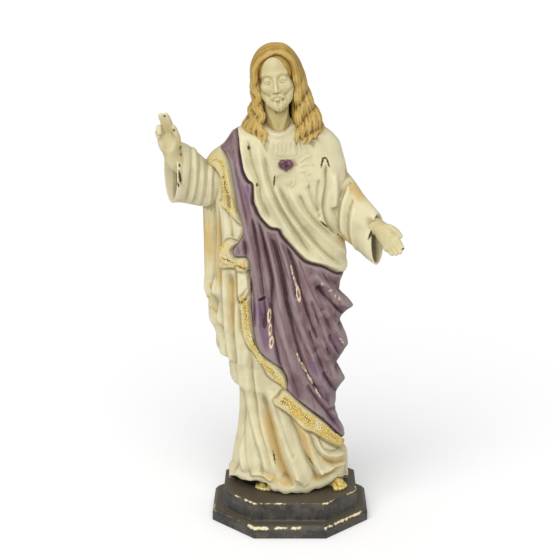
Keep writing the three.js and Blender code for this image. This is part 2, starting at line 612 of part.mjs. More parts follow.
// Closed mesh that loses its edges one by one
class Thinning {
  constructor(shape, careAt) {
    const { vertProperties, triVerts } = shape.getMesh();
    this.points = Array.from({ length: vertProperties.length / 3 }, (_, vertex) => (
      new THREE.Vector3().fromArray(vertProperties, 3 * vertex)));
    const corners = Array.from({ length: triVerts.length / 3 }, (_, face) => (
      [...triVerts.slice(3 * face, 3 * face + 3)]));
    this.faces = outerSkin(corners, this.points.length);
    this.around = this.points.map(() => new Set());
    this.quadrics = new Float64Array(this.points.length * QUADRIC);
    this.changes = new Uint32Array(this.points.length);
    this.queue = new EdgeQueue();
    this.left = this.faces.length;
    this.faces.forEach((face, index) => this.measure(face, index, careAt));
  }

  normal([a, b, c]) {
    const [p, q, r] = [this.points[a], this.points[b], this.points[c]];
    return new THREE.Vector3().crossVectors(q.clone().sub(p), r.clone().sub(p));
  }

  // Adds a face to its corners, and its plane to their quadrics
  measure(face, index, careAt) {
    const normal = this.normal(face);
    const area = normal.length();
    normal.normalize();
    const plane = [normal.x, normal.y, normal.z, -normal.dot(this.points[face[0]])];
    for (const vertex of face) {
      this.around[vertex].add(index);
      addPlane(this.quadrics, vertex, plane, area * careAt(this.points[vertex]));
    }
  }

  neighbours(vertex) {
    const corners = [...this.around[vertex]].flatMap((index) => this.faces[index]);
    return new Set(corners.filter((other) => other !== vertex));
  }

  offer(a, b) {
    const { points, quadrics, changes } = this;
    const sum = quadrics.slice(a * QUADRIC, a * QUADRIC + QUADRIC);
    sum.forEach((_, term) => { sum[term] += quadrics[b * QUADRIC + term]; });
    const { place, error } = mergedPlace(sum, points[a], points[b]);
    const cost = error + LENGTH_WEIGHT * points[a].distanceToSquared(points[b]);
    this.queue.push({ a, b, place, sum, error: cost, stamp: changes[a] + changes[b] });
  }

  // Whether a face round a vertex would fold over or grow too thin with the vertex at a new place
  turnsOver(vertex, other, place) {
    return [...this.around[vertex]].some((index) => {
      const face = this.faces[index];
      if (face.includes(other)) return false;
      const [p, q, r] = face.map((corner) => (corner === vertex ? place : this.points[corner]));
      const after = new THREE.Vector3().crossVectors(q.clone().sub(p), r.clone().sub(p));
      const longest = Math.max(p.distanceToSquared(q), q.distanceToSquared(r), r.distanceToSquared(p));
      if (after.length() < THINNEST_FACET * longest) return true;
      return after.normalize().dot(this.normal(face).normalize()) < LARGEST_TURN;
    });
  }

  allows({ a, b, place, stamp }) {
    const { around, changes } = this;
    if (around[a].size === 0 || around[b].size === 0) return false;
    if (stamp !== changes[a] + changes[b]) return false;
    const nearB = this.neighbours(b);
    const shared = [...this.neighbours(a)].filter((vertex) => nearB.has(vertex));
    return shared.length === 2 && !this.turnsOver(a, b, place) && !this.turnsOver(b, a, place);
  }

  // Vertex b goes, and vertex a moves to the place between them
  merge({ a, b, place, sum }) {
    for (const index of [...this.around[b]]) {
      const face = this.faces[index];
      if (face.includes(a)) {
        face.forEach((vertex) => this.around[vertex].delete(index));
        this.left -= 1;
      } else {
        face[face.indexOf(b)] = a;
        this.around[a].add(index);
      }
    }
    this.around[b].clear();
    this.points[a] = place;
    this.quadrics.set(sum, a * QUADRIC);
    this.changes[a] += 1;
    this.changes[b] += 1;
    this.neighbours(a).forEach((vertex) => this.offer(a, vertex));
  }

  result() {
    const { points, faces, around } = this;
    const used = points.map((_, vertex) => vertex).filter((vertex) => around[vertex].size > 0);
    const renumbered = new Map(used.map((vertex, index) => [vertex, index]));
    const kept = faces.filter((face, index) => around[face[0]].has(index));
    return solid(used.map((vertex) => points[vertex]), kept.flat().map((vertex) => renumbered.get(vertex)));
  }
}

// Fewer facets on a closed solid: the edge whose loss moves the surface least goes first, and none that would
// fold a facet over or pinch the surface goes at all
function simplified(shape, wanted, careAt) {
  const thinning = new Thinning(shape, careAt);
  thinning.points.forEach((_, a) => {
    thinning.neighbours(a).forEach((b) => { if (a < b) thinning.offer(a, b); });
  });
  while (thinning.left > wanted && thinning.queue.items.length > 0) {
    const edge = thinning.queue.pop();
    if (thinning.allows(edge)) thinning.merge(edge);
  }
  return thinning.result();
}

// Care for small features: the head and the hands keep finer facets than the cloth
const HEAD_CARE = { above: 470, care: 6 };
const HAND_CARE = { leftOf: -128, rightOf: 104, care: 4 };

function careAt({ x, z }) {
  if (z > HEAD_CARE.above) return HEAD_CARE.care;
  return x < HAND_CARE.leftOf || x > HAND_CARE.rightOf ? HAND_CARE.care : 1;
}

function figureSolid() {
  const parts = [
    robe(), sleeve(RAISED_SLEEVE), sleeve(LOWERED_SLEEVE), breastHeart(),
    ...raisedHand(), ...loweredHand(), ...head(), ...hair(), foot(LEFT_FOOT), foot(RIGHT_FOOT)];
  return simplified(parts.reduce((whole, part) => whole.add(part)), FIGURE_FACETS, careAt);
}

// Footprint of the robe, which the plinth's upper tier takes its size from
const footprintHalfWidth = UNIT * Math.max(LEFT_OUTLINE[0][1], RIGHT_OUTLINE[0][1]);
const footprintHalfDepth = UNIT * Math.max(...FRONT_OUTLINE.map(([, reach]) => reach));

function octagon(halfWidth, halfDepth, chamfer, z) {
  const [flatX, flatY] = [halfWidth - chamfer, halfDepth - chamfer];
  return [[flatX, -halfDepth], [halfWidth, -flatY], [halfWidth, flatY], [flatX, halfDepth],
    [-flatX, halfDepth], [-halfWidth, flatY], [-halfWidth, -flatY], [-flatX, -halfDepth]]
    .map(([x, y]) => new THREE.Vector3(x, y, z));
}

function plinthSolid() {
  const [upperX, upperY] = [footprintHalfWidth + SIDE_LEDGE, footprintHalfDepth + FRONT_LEDGE];
  const [lowerX, lowerY] = [upperX + SIDE_STEP, upperY + FRONT_STEP];
  const top = LOWER_TIER_HEIGHT + UPPER_TIER_HEIGHT;
  return loft([
    octagon(lowerX, lowerY, LOWER_CHAMFER, 0),
    octagon(lowerX, lowerY, LOWER_CHAMFER, LOWER_TIER_HEIGHT - LOWER_BEVEL),
    octagon(lowerX - LOWER_BEVEL, lowerY - LOWER_BEVEL, LOWER_CHAMFER, LOWER_TIER_HEIGHT),
    octagon(upperX, upperY, UPPER_CHAMFER, LOWER_TIER_HEIGHT),
    octagon(upperX, upperY, UPPER_CHAMFER, top - UPPER_BEVEL),
    octagon(upperX - UPPER_BEVEL, upperY - UPPER_BEVEL, UPPER_CHAMFER, top),
  ]);
}

function namedMesh(name, shape, material) {
  const { vertProperties, triVerts, numProp } = shape.getMesh();
  const geometry = new THREE.BufferGeometry();
  geometry.setAttribute('position', new THREE.BufferAttribute(vertProperties, numProp));
  geometry.setIndex(new THREE.BufferAttribute(triVerts, 1));
  geometry.computeVertexNormals();
  const mesh = new THREE.Mesh(geometry, material);
  mesh.name = name;
  return mesh;
}

const plaster = new THREE.MeshStandardMaterial({ color: '#cdc49c', roughness: 0.7, metalness: 0 });
const blackPaint = new THREE.MeshStandardMaterial({ color: '#4e4d46', roughness: 0.6, metalness: 0 });

const statue = new THREE.Group();
const figure = namedMesh('figure', figureSolid(), plaster);
figure.scale.setScalar(UNIT);
figure.position.z = LOWER_TIER_HEIGHT + UPPER_TIER_HEIGHT + STANDING_GAP;
statue.add(figure, namedMesh('plinth', plinthSolid(), blackPaint));

export default statue;
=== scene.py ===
"""Painted plaster figure in long robes with open arms, cast in one piece, on a stepped black plinth.

All tables are in millimetres: x grows to the viewer's right, the front faces -y and heights are above
the ground. A mesh is turned to metres when it is made.
"""
import math

import bmesh
import bpy
import numpy as np
from mathutils import Euler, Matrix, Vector
from mathutils.kdtree import KDTree


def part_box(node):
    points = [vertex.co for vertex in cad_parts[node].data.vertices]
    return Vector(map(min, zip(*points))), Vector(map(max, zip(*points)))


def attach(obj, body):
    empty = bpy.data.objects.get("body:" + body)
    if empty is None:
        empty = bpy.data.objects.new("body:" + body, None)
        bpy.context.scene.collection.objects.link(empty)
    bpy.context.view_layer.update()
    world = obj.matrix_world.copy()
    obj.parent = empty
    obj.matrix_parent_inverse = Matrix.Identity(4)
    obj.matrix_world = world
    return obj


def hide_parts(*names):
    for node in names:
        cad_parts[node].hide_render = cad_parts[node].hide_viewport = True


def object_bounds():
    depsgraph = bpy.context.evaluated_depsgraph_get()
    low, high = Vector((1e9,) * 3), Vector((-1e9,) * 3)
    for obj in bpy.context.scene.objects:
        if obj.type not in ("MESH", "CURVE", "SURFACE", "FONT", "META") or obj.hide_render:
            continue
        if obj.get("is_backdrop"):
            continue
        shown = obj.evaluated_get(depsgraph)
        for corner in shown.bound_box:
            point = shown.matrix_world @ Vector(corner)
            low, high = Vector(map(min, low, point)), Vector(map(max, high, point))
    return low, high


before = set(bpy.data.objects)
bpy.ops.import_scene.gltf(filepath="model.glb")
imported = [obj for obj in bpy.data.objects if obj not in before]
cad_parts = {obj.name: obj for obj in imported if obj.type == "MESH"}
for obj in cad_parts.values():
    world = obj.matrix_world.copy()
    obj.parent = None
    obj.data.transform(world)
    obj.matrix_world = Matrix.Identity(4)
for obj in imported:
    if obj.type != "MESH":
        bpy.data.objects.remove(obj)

bl_info = {
    "name": "Devotional statue",
    "version": (1, 0, 0),
    "blender": (4, 5, 0),
    "location": "3D View > Sidebar > Statue",
    "description": "Painted plaster figure with open arms on a stepped plinth",
    "category": "Object",
}

MM = 0.001
IMAGE_SIZE = 560
SENSOR_WIDTH = 36

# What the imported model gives: the height of the soles, and the plinth's upper corner
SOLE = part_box("figure")[0][2] / MM
PLINTH_HIGH = np.array(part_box("plinth")[1]) / MM
TABLE_SOLE = 40           # height of the soles in the tables below

# Triangles kept on each part before the parts are joined
FACETS = {"sleeve": 15000, "hair": 80000, "head": 60000, "hand": 9000}
ROBE_SHARE = 0.8          # triangles kept on the robe, against those of the whole figure
MEND_ROUNDS = 12          # how often facets spoilt by thinning are looked for
CRUMB_POINTS = 40         # a loose part with fewer points is a crumb

# Outline of the robe: [height, how far it reaches] at each turn of the silhouette
LEFT_OUTLINE = [(40, 80), (50, 79), (59, 77), (66, 71.5), (80, 70), (95, 67), (110, 64), (125, 62.3),
                (140, 61), (165, 60.6), (173, 63), (179, 73), (188, 76.5), (202, 76), (210, 78),
                (215, 89.5), (224, 90), (245, 89), (252, 91.5), (259, 96), (266, 97), (286, 96.5),
                (293, 99.5), (299, 103), (309, 102.3), (319, 101), (366, 101), (400, 101.5), (452, 102),
                (464, 100), (470, 95), (479, 81), (484, 77), (489, 73.5), (496, 69), (502, 60), (507, 44),
                (512, 32)]
RIGHT_OUTLINE = [(40, 76), (62, 75), (84, 74), (95, 65), (106, 70), (117, 66), (128, 59), (161, 58),
                 (182, 69), (203, 60), (225, 72), (246, 68), (262, 63), (277, 78), (298, 63), (309, 62),
                 (329, 70), (350, 68), (380, 68), (430, 72), (459, 67), (484, 60), (494, 51), (501, 42),
                 (507, 26), (512, 4)]
FRONT_OUTLINE = [(40, 50), (50, 51), (60, 50), (90, 48), (130, 46), (165, 46), (214, 50), (256, 53),
                 (300, 54), (340, 52), (400, 50), (430, 48), (459, 42), (484, 33), (494, 30), (500, 20),
                 (506, 10), (512, 4)]
BACK_OUTLINE = [(40, 52), (60, 50), (90, 47), (130, 45), (185, 45), (256, 47), (300, 46), (340, 44),
                (400, 42), (459, 38), (484, 30), (501, 23), (512, 16)]
CORE_LINE = [(40, 0), (250, 2), (460, -12), (512, -15)]
HEM_LINE = [(-80, 46), (-76, 50), (-61, 52), (-44, 53), (-36, 56), (-28, 54), (-23, 44.5), (-19, 43),
            (-9, 42.8), (0, 42), (13, 41.7), (25, 42), (38, 44.6), (48, 47.6), (53, 50.3), (63, 52.7),
            (72, 51), (76, 46)]
BACK_HEM = 43
HEM_SAGS = [(1.1, 4.1, 0), (0.7, 2.3, 1)]   # waves of the hem: [height, length in x, start]
HEM_LIP = 2.2             # how far the hem's lower lip lies inside the carved surface
HEM_UNDERCUT = 15         # how far the hollow under the hem lies inside it
HEM_ROLL = 3              # height of the turn from the hollow to the hem
HEM_EDGE = 0.8            # height of the turn from the lip to the carved surface
FOOT_HEIGHT = 44.0        # where the robe's width at the ground is read
ROBE_COLUMNS = 600
ROBE_ROWS = 540
SECTION_POWER = 2.3       # between an ellipse, 2, and a rounded box
FOOT_POWER = 1.6          # the same at the ground, where the robe stands on a narrower front
FRONT_CROWDING = 0.3      # how much closer the columns stand at the front
OUTLINE_SOFTNESS = 2.2    # radius of the rounding on the turns of the silhouette
SIDE_SLANT = 0.35         # how much the folds of the right side sink from back to front
SIDE_DEPTH = 45           # depth from the middle over which they sink
START_FADE = 0.16         # share of a fold's length over which it rises from its first end
END_FADE = 0.14           # and over which it dies away

# Painted fields on the front, as closed outlines of (x, height)
MAUVE_LEFT_EDGE = [(-98, 496), (-87, 480), (-79, 474), (-73, 466), (-69, 450), (-66, 435), (-62, 409),
                   (-57, 390), (-56, 379), (-61, 369), (-69, 358), (-66, 349), (-52, 348), (-49, 335),
                   (-48, 309), (-47, 283), (-44, 260), (-36, 232), (-18, 216), (-6, 201), (-4, 180),
                   (12, 164), (27, 150), (45, 132), (61, 112), (68, 101)]
CHEST_EDGE = [(-64, 506), (-61.5, 497), (-59.5, 483), (-57, 466), (-54, 452), (-49, 443), (-43, 438),
              (-43, 419), (-40, 410), (-35, 399), (-24, 387), (-13, 384), (-8, 375), (12, 352), (22, 344),
              (42, 337), (61, 324), (72, 330), (90, 336)]
BACK_UPPER_EDGE = [(-90, 500), (-50, 494), (-20, 472), (10, 437), (40, 392), (72, 342), (90, 325)]
BACK_LOWER_EDGE = [(-110, 196), (-82, 186), (-40, 155), (0, 125), (40, 102), (72, 96), (100, 92)]
# Closed outlines of the mauve mantle, front and back
MAUVE_FRONT = MAUVE_LEFT_EDGE + [(84, 84), (110, 110), (112, 336)] + CHEST_EDGE[::-1]
MAUVE_BACK = [(-130, 500)] + BACK_UPPER_EDGE + [(130, 325), (130, 92)] + BACK_LOWER_EDGE[::-1] + [(-130, 196)]
CHEST_FIELD = CHEST_EDGE + [(130, 336), (130, 520), (-64, 520)]
BORDERS = [
    [(-112, 466), (-101, 466), (-90, 477), (-80, 475), (-74, 466), (-70, 450), (-67, 435), (-63, 409),
     (-58, 390), (-61, 391), (-67, 397), (-83, 413), (-80, 419), (-80, 440), (-89, 455), (-101, 456),
     (-112, 456)],
    [(-64, 366), (-69, 358), (-66, 349), (-52, 348), (-49, 336), (-52, 331), (-56, 332), (-70, 335),
     (-82, 334), (-87, 341), (-86, 352), (-80, 364), (-73, 369)],
    [(-55, 303), (-49, 309), (-47, 283), (-44, 260), (-36, 232), (-18, 216), (-6, 201), (-4, 180),
     (-9, 187), (-26, 200), (-34, 217), (-49, 238), (-57, 257), (-59, 280), (-61, 296)],
    [(-5, 181), (12, 164), (27, 150), (45, 132), (61, 112), (68, 101), (80, 88), (76, 82), (68, 92),
     (61, 97), (48, 107), (33, 120), (12, 133), (0, 147), (-19, 164), (-14, 172)],
]
LINING_DISC = [(-60, 337), (-53, 333), (-48.5, 324), (-47.5, 313), (-50, 304), (-56, 297), (-63, 295),
               (-64, 334)]
BACK_BORDER_WIDTH = 11
MAUVE_WRAP = (-56, 12)    # left of this x the mantle's back paint starts this far behind the middle

# Layers of cloth: [step, rounding, tuck under the edge] for each kind of edge
MANTLE_LAYER = (3.6, 2.6, 1.6)
BACK_LAYER = (4.0, 3.0, 2.0)
CHEST_LAYER = (5.5, 3.2, 2.4)
BORDER_LAYER = (1.5, 2.2, 0.6)
DISC_LAYER = (4.6, 3.0, 2.6)

# Folds of the front: ridges stand up and grooves, with a minus, go in; [reach, rise, points of the line]
FRONT_FOLDS = [
    # mauve mantle: fine pleats that fall from the waist to the lower right
    [4.2, 2.4, (-51, 405), (-48, 371), (-41, 334), (-38, 297), (-37, 259), (-32, 230)],
    [2.8, -4.2, (-38, 402), (-29, 359), (-22, 323), (-22, 288), (-18, 251), (-12, 218), (-2, 187)],
    [4.2, 2.4, (-33, 393), (-22, 353), (-14, 310), (-10, 273), (-2, 234), (10, 194)],
    [2.8, -4.4, (-26, 386), (-16, 353), (-8, 317), (-1, 283), (7, 247), (18, 210), (30, 185), (48, 154)],
    [4.2, 2.6, (-17, 380), (-5, 347), (2, 310), (11, 273), (23, 233), (37, 192), (53, 153)],
    [2.8, -3.8, (-7, 372), (5, 341), (13, 310), (22, 279), (34, 244)],
    [4.6, 2.4, (2, 359), (17, 329), (29, 297), (39, 258), (44, 231)],
    [2.2, -2.2, (-53, 372), (-52, 340), (-44, 300), (-43, 262)],
    [2.2, -2.2, (-44, 400), (-37, 345), (-31, 300), (-29, 262)],
    [2.0, -1.8, (-20, 376), (-9, 335), (-4, 300)],
    [2.0, -1.8, (-11, 372), (1, 335), (8, 300)],
    # folds that swing down to the right hip and make the steps of the silhouette
    [5.5, 3.6, (24, 332), (44, 312), (63, 293), (78, 278)],
    [2.8, -4.4, (30, 316), (50, 293), (72, 264)],
    [5.5, 2.6, (37, 286), (54, 261), (74, 226)],
    [2.6, -2.6, (46, 254), (57, 229), (68, 203)],
    [5.5, 2.4, (30, 236), (47, 211), (70, 178)],
    [2.6, -3.2, (40, 205), (52, 180), (64, 160)],
    [5.0, 2.6, (32, 182), (48, 153), (66, 112)],
    [2.4, -2.8, (20, 190), (34, 165), (52, 136), (64, 112)],
    [2.0, -1.8, (24, 300), (36, 262), (48, 222)],
    [1.8, -1.6, (22, 262), (32, 228), (46, 188)],
    # cream drape that hangs from the raised arm
    [5.0, 4.0, (-97, 436), (-99, 353), (-99, 301), (-92, 232)],
    [3.2, -7.5, (-88, 420), (-88, 330), (-87, 292), (-84, 239), (-76, 196)],
    [4.5, 2.6, (-77, 372), (-79, 340), (-80, 296), (-78, 240), (-70, 190)],
    [4.2, -4.6, (-72, 330), (-72, 292), (-71, 250), (-66, 205)],
    [4.0, 3.2, (-63, 296), (-65, 262), (-62, 214), (-58, 170)],
    [2.4, -2.2, (-104, 400), (-104, 330), (-100, 290)],
    [2.2, -2.0, (-93, 420), (-94, 340), (-92, 280)],
    [2.2, -2.4, (-75, 410), (-72, 390), (-70, 372)],
    # tunic below the mantle
    [6.0, 3.6, (-54, 258), (-53, 203), (-48, 149), (-35, 100), (-28, 66)],
    [2.8, -4.4, (-47, 236), (-45, 184), (-41, 137), (-30, 100), (-22, 68)],
    [5.5, 3.0, (-46, 219), (-39, 164), (-30, 113), (-20, 66)],
    [4.6, -8.0, (-35, 178), (-31, 150), (-25, 128), (-17, 98), (-8, 72), (2, 50)],
    [6.5, 4.6, (-24, 182), (-14, 140), (0, 98), (13, 52)],
    [2.6, -3.0, (-18, 160), (-6, 120), (6, 88)],
    [3.2, -5.6, (-3, 150), (10, 122), (19, 96), (29, 75), (39, 52)],
    [5.0, 3.2, (12, 142), (25, 107), (33, 80), (44, 60)],
    [2.6, -4.0, (24, 128), (33, 101), (44, 86), (57, 77), (74, 75)],
    [4.0, 2.6, (30, 122), (38, 102), (50, 91), (72, 86)],
    [2.4, -3.4, (37, 118), (42, 102), (52, 94), (68, 92)],
    [2.6, -3.0, (-55, 155), (-49, 118), (-39, 88), (-34, 64)],
    [5.0, 3.2, (-66, 150), (-64, 100), (-56, 62)],
    [2.6, -3.2, (-61, 150), (-60, 104), (-54, 68), (-48, 58)],
    [2.6, -2.6, (40, 70), (47, 62), (60, 64)],
    [3.6, 3.4, (36, 66), (46, 70), (60, 74), (72, 72)],
    [3.0, 2.4, (-52, 62), (-36, 66), (-22, 58)],
    [2.4, -2.4, (-10, 66), (-2, 60), (4, 52)],
    [3.0, 2.4, (6, 66), (14, 60), (20, 52)],
    # chest of the tunic: long folds from the left shoulder to the right hip
    [3.4, 2.6, (-57, 490), (-53, 462), (-44, 444), (-38, 424), (-30, 402)],
    [2.6, -3.6, (-49, 490), (-46, 470), (-37, 442), (-33, 420), (-22, 396)],
    [4.0, 2.8, (-38, 492), (-33, 462), (-25, 430), (-10, 398), (8, 366)],
    [2.8, -3.8, (-30, 474), (-24, 445), (-12, 413), (5, 385), (26, 352)],
    [4.4, 3.2, (-22, 450), (-13, 425), (3, 395), (24, 368), (48, 340)],
    [2.8, -3.8, (-14, 440), (-2, 412), (14, 388), (38, 358), (62, 336)],
    [4.2, 3.0, (-2, 436), (8, 414), (24, 392), (46, 368), (68, 346)],
    [2.6, -3.0, (9, 430), (20, 408), (34, 390), (52, 374)],
    [2.4, -2.4, (20, 440), (26, 420), (34, 404)],
    [2.6, -5.0, (41, 462), (42, 440), (39, 412), (46, 388), (58, 372)],
    [2.4, -2.6, (33, 446), (31, 420), (36, 396)],
    [3.6, 3.0, (49, 452), (51, 430), (50, 408)],
    [2.4, -3.0, (56, 376), (66, 366), (74, 352)],
    # collar, and the plain panel with its strokes over the heart
    [1.9, 2.2, (-37, 508), (-28, 500), (-14, 496), (-1, 500), (8, 507)],
    [1.2, -1.2, (-36, 503), (-27, 495), (-14, 491), (0, 495), (9, 502)],
    [0.9, 1.0, (-21, 492), (-21, 471), (8, 471), (8, 492)],
    [0.9, 1.0, (-16, 488), (-16, 475)],
    [0.9, 1.0, (-11, 488), (-11, 475)],
    [0.9, 1.0, (-6, 488), (-6, 475)],
    [0.9, 1.0, (-1, 488), (-1, 475)],
    [0.9, 1.0, (4, 488), (4, 475)],
    [1.1, 1.3, (10, 464), (17, 470), (25, 472)],
    [1.1, 1.3, (10, 459), (18, 463), (26, 461)],
    [1.1, 1.3, (9, 454), (16, 455), (22, 450)],
    [1.1, 1.3, (-14, 452), (-18, 446), (-17, 438)],
    [1.1, 1.3, (2, 450), (4, 443), (1, 436)],
    [1.1, 1.3, (12, 449), (18, 443), (19, 436)],
]
BACK_FOLDS = [
    [11, 4.5, (-34, 480), (20, 400), (62, 302)],
    [5, -5.0, (-42, 476), (8, 386), (58, 262)],
    [11, 5.0, (-50, 470), (0, 370), (54, 240)],
    [5, -5.5, (-58, 466), (-12, 352), (50, 196)],
    [11, 5.0, (-62, 460), (-20, 340), (46, 170)],
    [5, -5.5, (-68, 448), (-32, 330), (30, 164)],
    [10, 4.5, (-74, 440), (-44, 310), (8, 156)],
    [5, -5.5, (-79, 430), (-56, 300), (-10, 160)],
    [10, 4.5, (-84, 420), (-66, 280), (-28, 158)],
    [5, -5.5, (-89, 410), (-78, 280), (-46, 168)],
    [9, 4.0, (-95, 390), (-88, 270), (-64, 180)],
    [4, -4.5, (-66, 160), (-58, 100), (-54, 50)],
    [9, 4.5, (-52, 150), (-46, 90), (-40, 48)],
    [4.5, -5.5, (-36, 144), (-32, 90), (-28, 48)],
    [9, 4.5, (-20, 134), (-18, 86), (-14, 48)],
    [4.5, -5.5, (-6, 124), (-3, 80), (0, 48)],
    [9, 4.5, (8, 116), (12, 80), (16, 48)],
    [4.5, -5.0, (22, 108), (28, 76), (32, 48)],
    [9, 4.5, (36, 102), (42, 76), (48, 48)],
    [4, -4.0, (50, 98), (56, 74), (62, 48)],
    [7, 3.0, (-44, 506), (-54, 484), (-64, 468)],
    [7, 3.5, (10, 500), (34, 470), (46, 430)],
    [4, -3.5, (22, 496), (44, 460), (52, 410)],
]
# Folds of the two sides, as lines of (y, height)
LEFT_SIDE_FOLDS = [
    [4, -5, (-22, 440), (-20, 330), (-16, 230)], [6, 4, (-10, 430), (-8, 320), (-8, 226)],
    [4, -5, (4, 440), (4, 330), (2, 210)], [6, 4, (16, 430), (14, 320), (12, 200)],
    [4, -5, (26, 430), (24, 320), (22, 190)], [5, -4, (-14, 180), (-14, 110), (-12, 50)],
    [7, 3, (0, 180), (2, 110), (4, 50)], [5, -4, (14, 170), (16, 110), (18, 50)],
]
RIGHT_SIDE_FOLDS = [
    [5, -4, (-34, 308), (0, 296), (34, 308)], [5, -4, (-36, 262), (0, 256), (34, 270)],
    [5, -4, (-34, 206), (0, 200), (34, 214)], [5, -4, (-34, 150), (0, 145), (34, 158)],
    [4, -4, (-12, 350), (-4, 330), (10, 312)], [4, -3, (10, 100), (14, 74), (16, 50)],
    [4, -3, (-12, 88), (-10, 66), (-8, 50)], [5, -4, (14, 440), (12, 400), (16, 360)],
]
# Broad forms under the cloth: [x, height, reach, rise]
BROAD_FORMS = [(-14, 236, 44, 5), (-20, 440, 40, 3), (30, 432, 34, 3), (4, 360, 40, -3)]
# Fine creases that fan out from a place: [x, height, creases a radian, depth]
MANTLE_CREASES = (-84, 560, 165, 1.5)
TUNIC_CREASES = (-120, 700, 270, 0.9)
DRAPE_CREASES = (-84, 1200, 430, 1.2)

# Sleeves: [x, y, height, heading, half width, half height] at each station, from the shoulder to the cuff
RAISED_SLEEVE = [
    (-66, -4, 438, math.pi, 22, 24), (-86, -6, 436, math.pi, 25, 28), (-101, -14, 434, math.pi + 0.2, 24, 29),
    (-116, -24, 444, math.pi + 0.35, 22, 35), (-131, -34, 451, math.pi + 0.45, 21, 37),
    (-141, -41, 453, math.pi + 0.48, 21, 38)]
LOWERED_SLEEVE = [
    (38, -2, 430, -0.6, 26, 34), (54, -10, 416, -0.6, 27, 42), (70, -21, 404, -0.62, 24, 39),
    (83, -32, 391.5, -0.64, 20, 35), (95, -43, 380.5, -0.64, 17, 34), (104, -52, 373.5, -0.64, 15, 32)]
SLEEVE_STEPS = 14         # rings between two stations
SLEEVE_SIDES = 220
SLEEVE_ROUND = 0.8        # a sleeve's girth against that of a circle as high
CUFF_ROLL = 0.8
CUFF_WALL = 2.6
CUFF_DEPTH = 26
CUFF_RINGS = (0.3, 0.65, 1.0)
CUFF_NARROWING = (0.4, 0.35)   # share of its width and height that the hollow loses inside
# Folds of the sleeves, on the sleeve laid flat: [reach, rise, (distance along, distance round from the top)]
RAISED_SLEEVE_FOLDS = [
    [2.0, -2.2, (60, -6), (66, 22), (72, 52), (75, 78)], [3.0, 1.6, (54, -6), (60, 22), (65, 52), (69, 80)],
    [1.7, -1.6, (49, -4), (53, 24), (59, 52), (63, 84)], [2.6, 1.2, (43, -4), (47, 24), (52, 50), (56, 80)],
    [1.8, -1.9, (36, 0), (40, 26), (45, 54), (50, 82)], [1.6, -1.4, (66, 34), (70, 58), (74, 82)],
    [2.2, 1.2, (30, 2), (33, 28), (37, 60)], [1.6, -1.5, (24, 4), (26, 30), (30, 60)],
    [2.0, -2.2, (60, -20), (64, -44), (70, -70)], [2.0, -2.2, (42, -20), (48, -44), (56, -70)],
    [1.6, -1.0, (80, 10), (82, 36), (83, 60)],
]
LOWERED_SLEEVE_FOLDS = [
    [2.2, -3.4, (34, 8), (30, -16), (22, -40)], [3.0, 2.0, (38, 6), (34, -18), (26, -44)],
    [2.2, -2.6, (43, 4), (38, -20), (30, -44)], [2.2, -3.2, (52, 2), (50, -18), (46, -34)],
    [4.0, 2.4, (58, -10), (54, -40), (50, -70)], [2.6, -3.4, (52, -16), (48, -46), (44, -80)],
    [2.6, -3.0, (66, -16), (62, -46), (60, -80)], [3.4, 2.0, (72, -20), (70, -50), (68, -80)],
    [2.4, -3.0, (50, 24), (56, 50), (60, 80)], [2.4, -2.4, (34, 24), (40, 50), (46, 80)],
]

# Hair: guide curves of each side from the parting to the ends, front one first, as [x, y, height, radius];
# both sides end with the one down the middle of the back
MIDDLE_HAIR = [(-16, 22, 590, 3.0), (-16.5, 27, 583, 5.0), (-17, 30, 573, 6.4), (-17, 31, 560, 7.0),
               (-17.5, 32, 543, 7.0), (-18, 32, 525, 7.0), (-18, 32, 505, 7.0), (-19, 34, 488, 6.5),
               (-18, 35, 470, 2.4)]
LEFT_HAIR = [
    [(-17, -25, 591, 2.6), (-26, -25, 588, 3.2), (-35.5, -22, 580, 3.8), (-42, -19, 565, 4.2),
     (-41.5, -17, 546, 4.4), (-38.5, -17, 529, 4.6), (-36, -21, 513, 4.8), (-34, -30, 499, 4.4),
     (-28, -38, 485, 1.5)],
    [(-16, -8, 598, 3.0), (-25, -8, 596, 4.2), (-35, -7, 589, 5.0), (-42, -6, 573, 5.2),
     (-40.5, -5, 551, 5.4), (-40, -5, 533, 5.6), (-44.5, -9, 515, 6.0), (-49, -19, 499, 5.6),
     (-42, -28, 484, 1.8)],
    [(-16, 12, 595, 3.0), (-24, 15, 592, 4.6), (-33, 17, 584, 5.4), (-40, 18, 570, 5.8),
     (-39, 18, 547, 6.0), (-38.5, 18, 529, 6.0), (-44, 15, 511, 6.4), (-54, 8, 498, 6.0),
     (-56, 0, 484, 2.0)],
    [(-16, 20, 590, 3.0), (-19, 24, 583, 5.0), (-22, 27, 573, 6.4), (-25, 28, 560, 7.0),
     (-27, 29, 543, 7.0), (-29, 29, 525, 7.0), (-32, 30, 505, 7.0), (-38, 32, 488, 6.5),
     (-36, 34, 470, 2.4)],
    MIDDLE_HAIR,
]
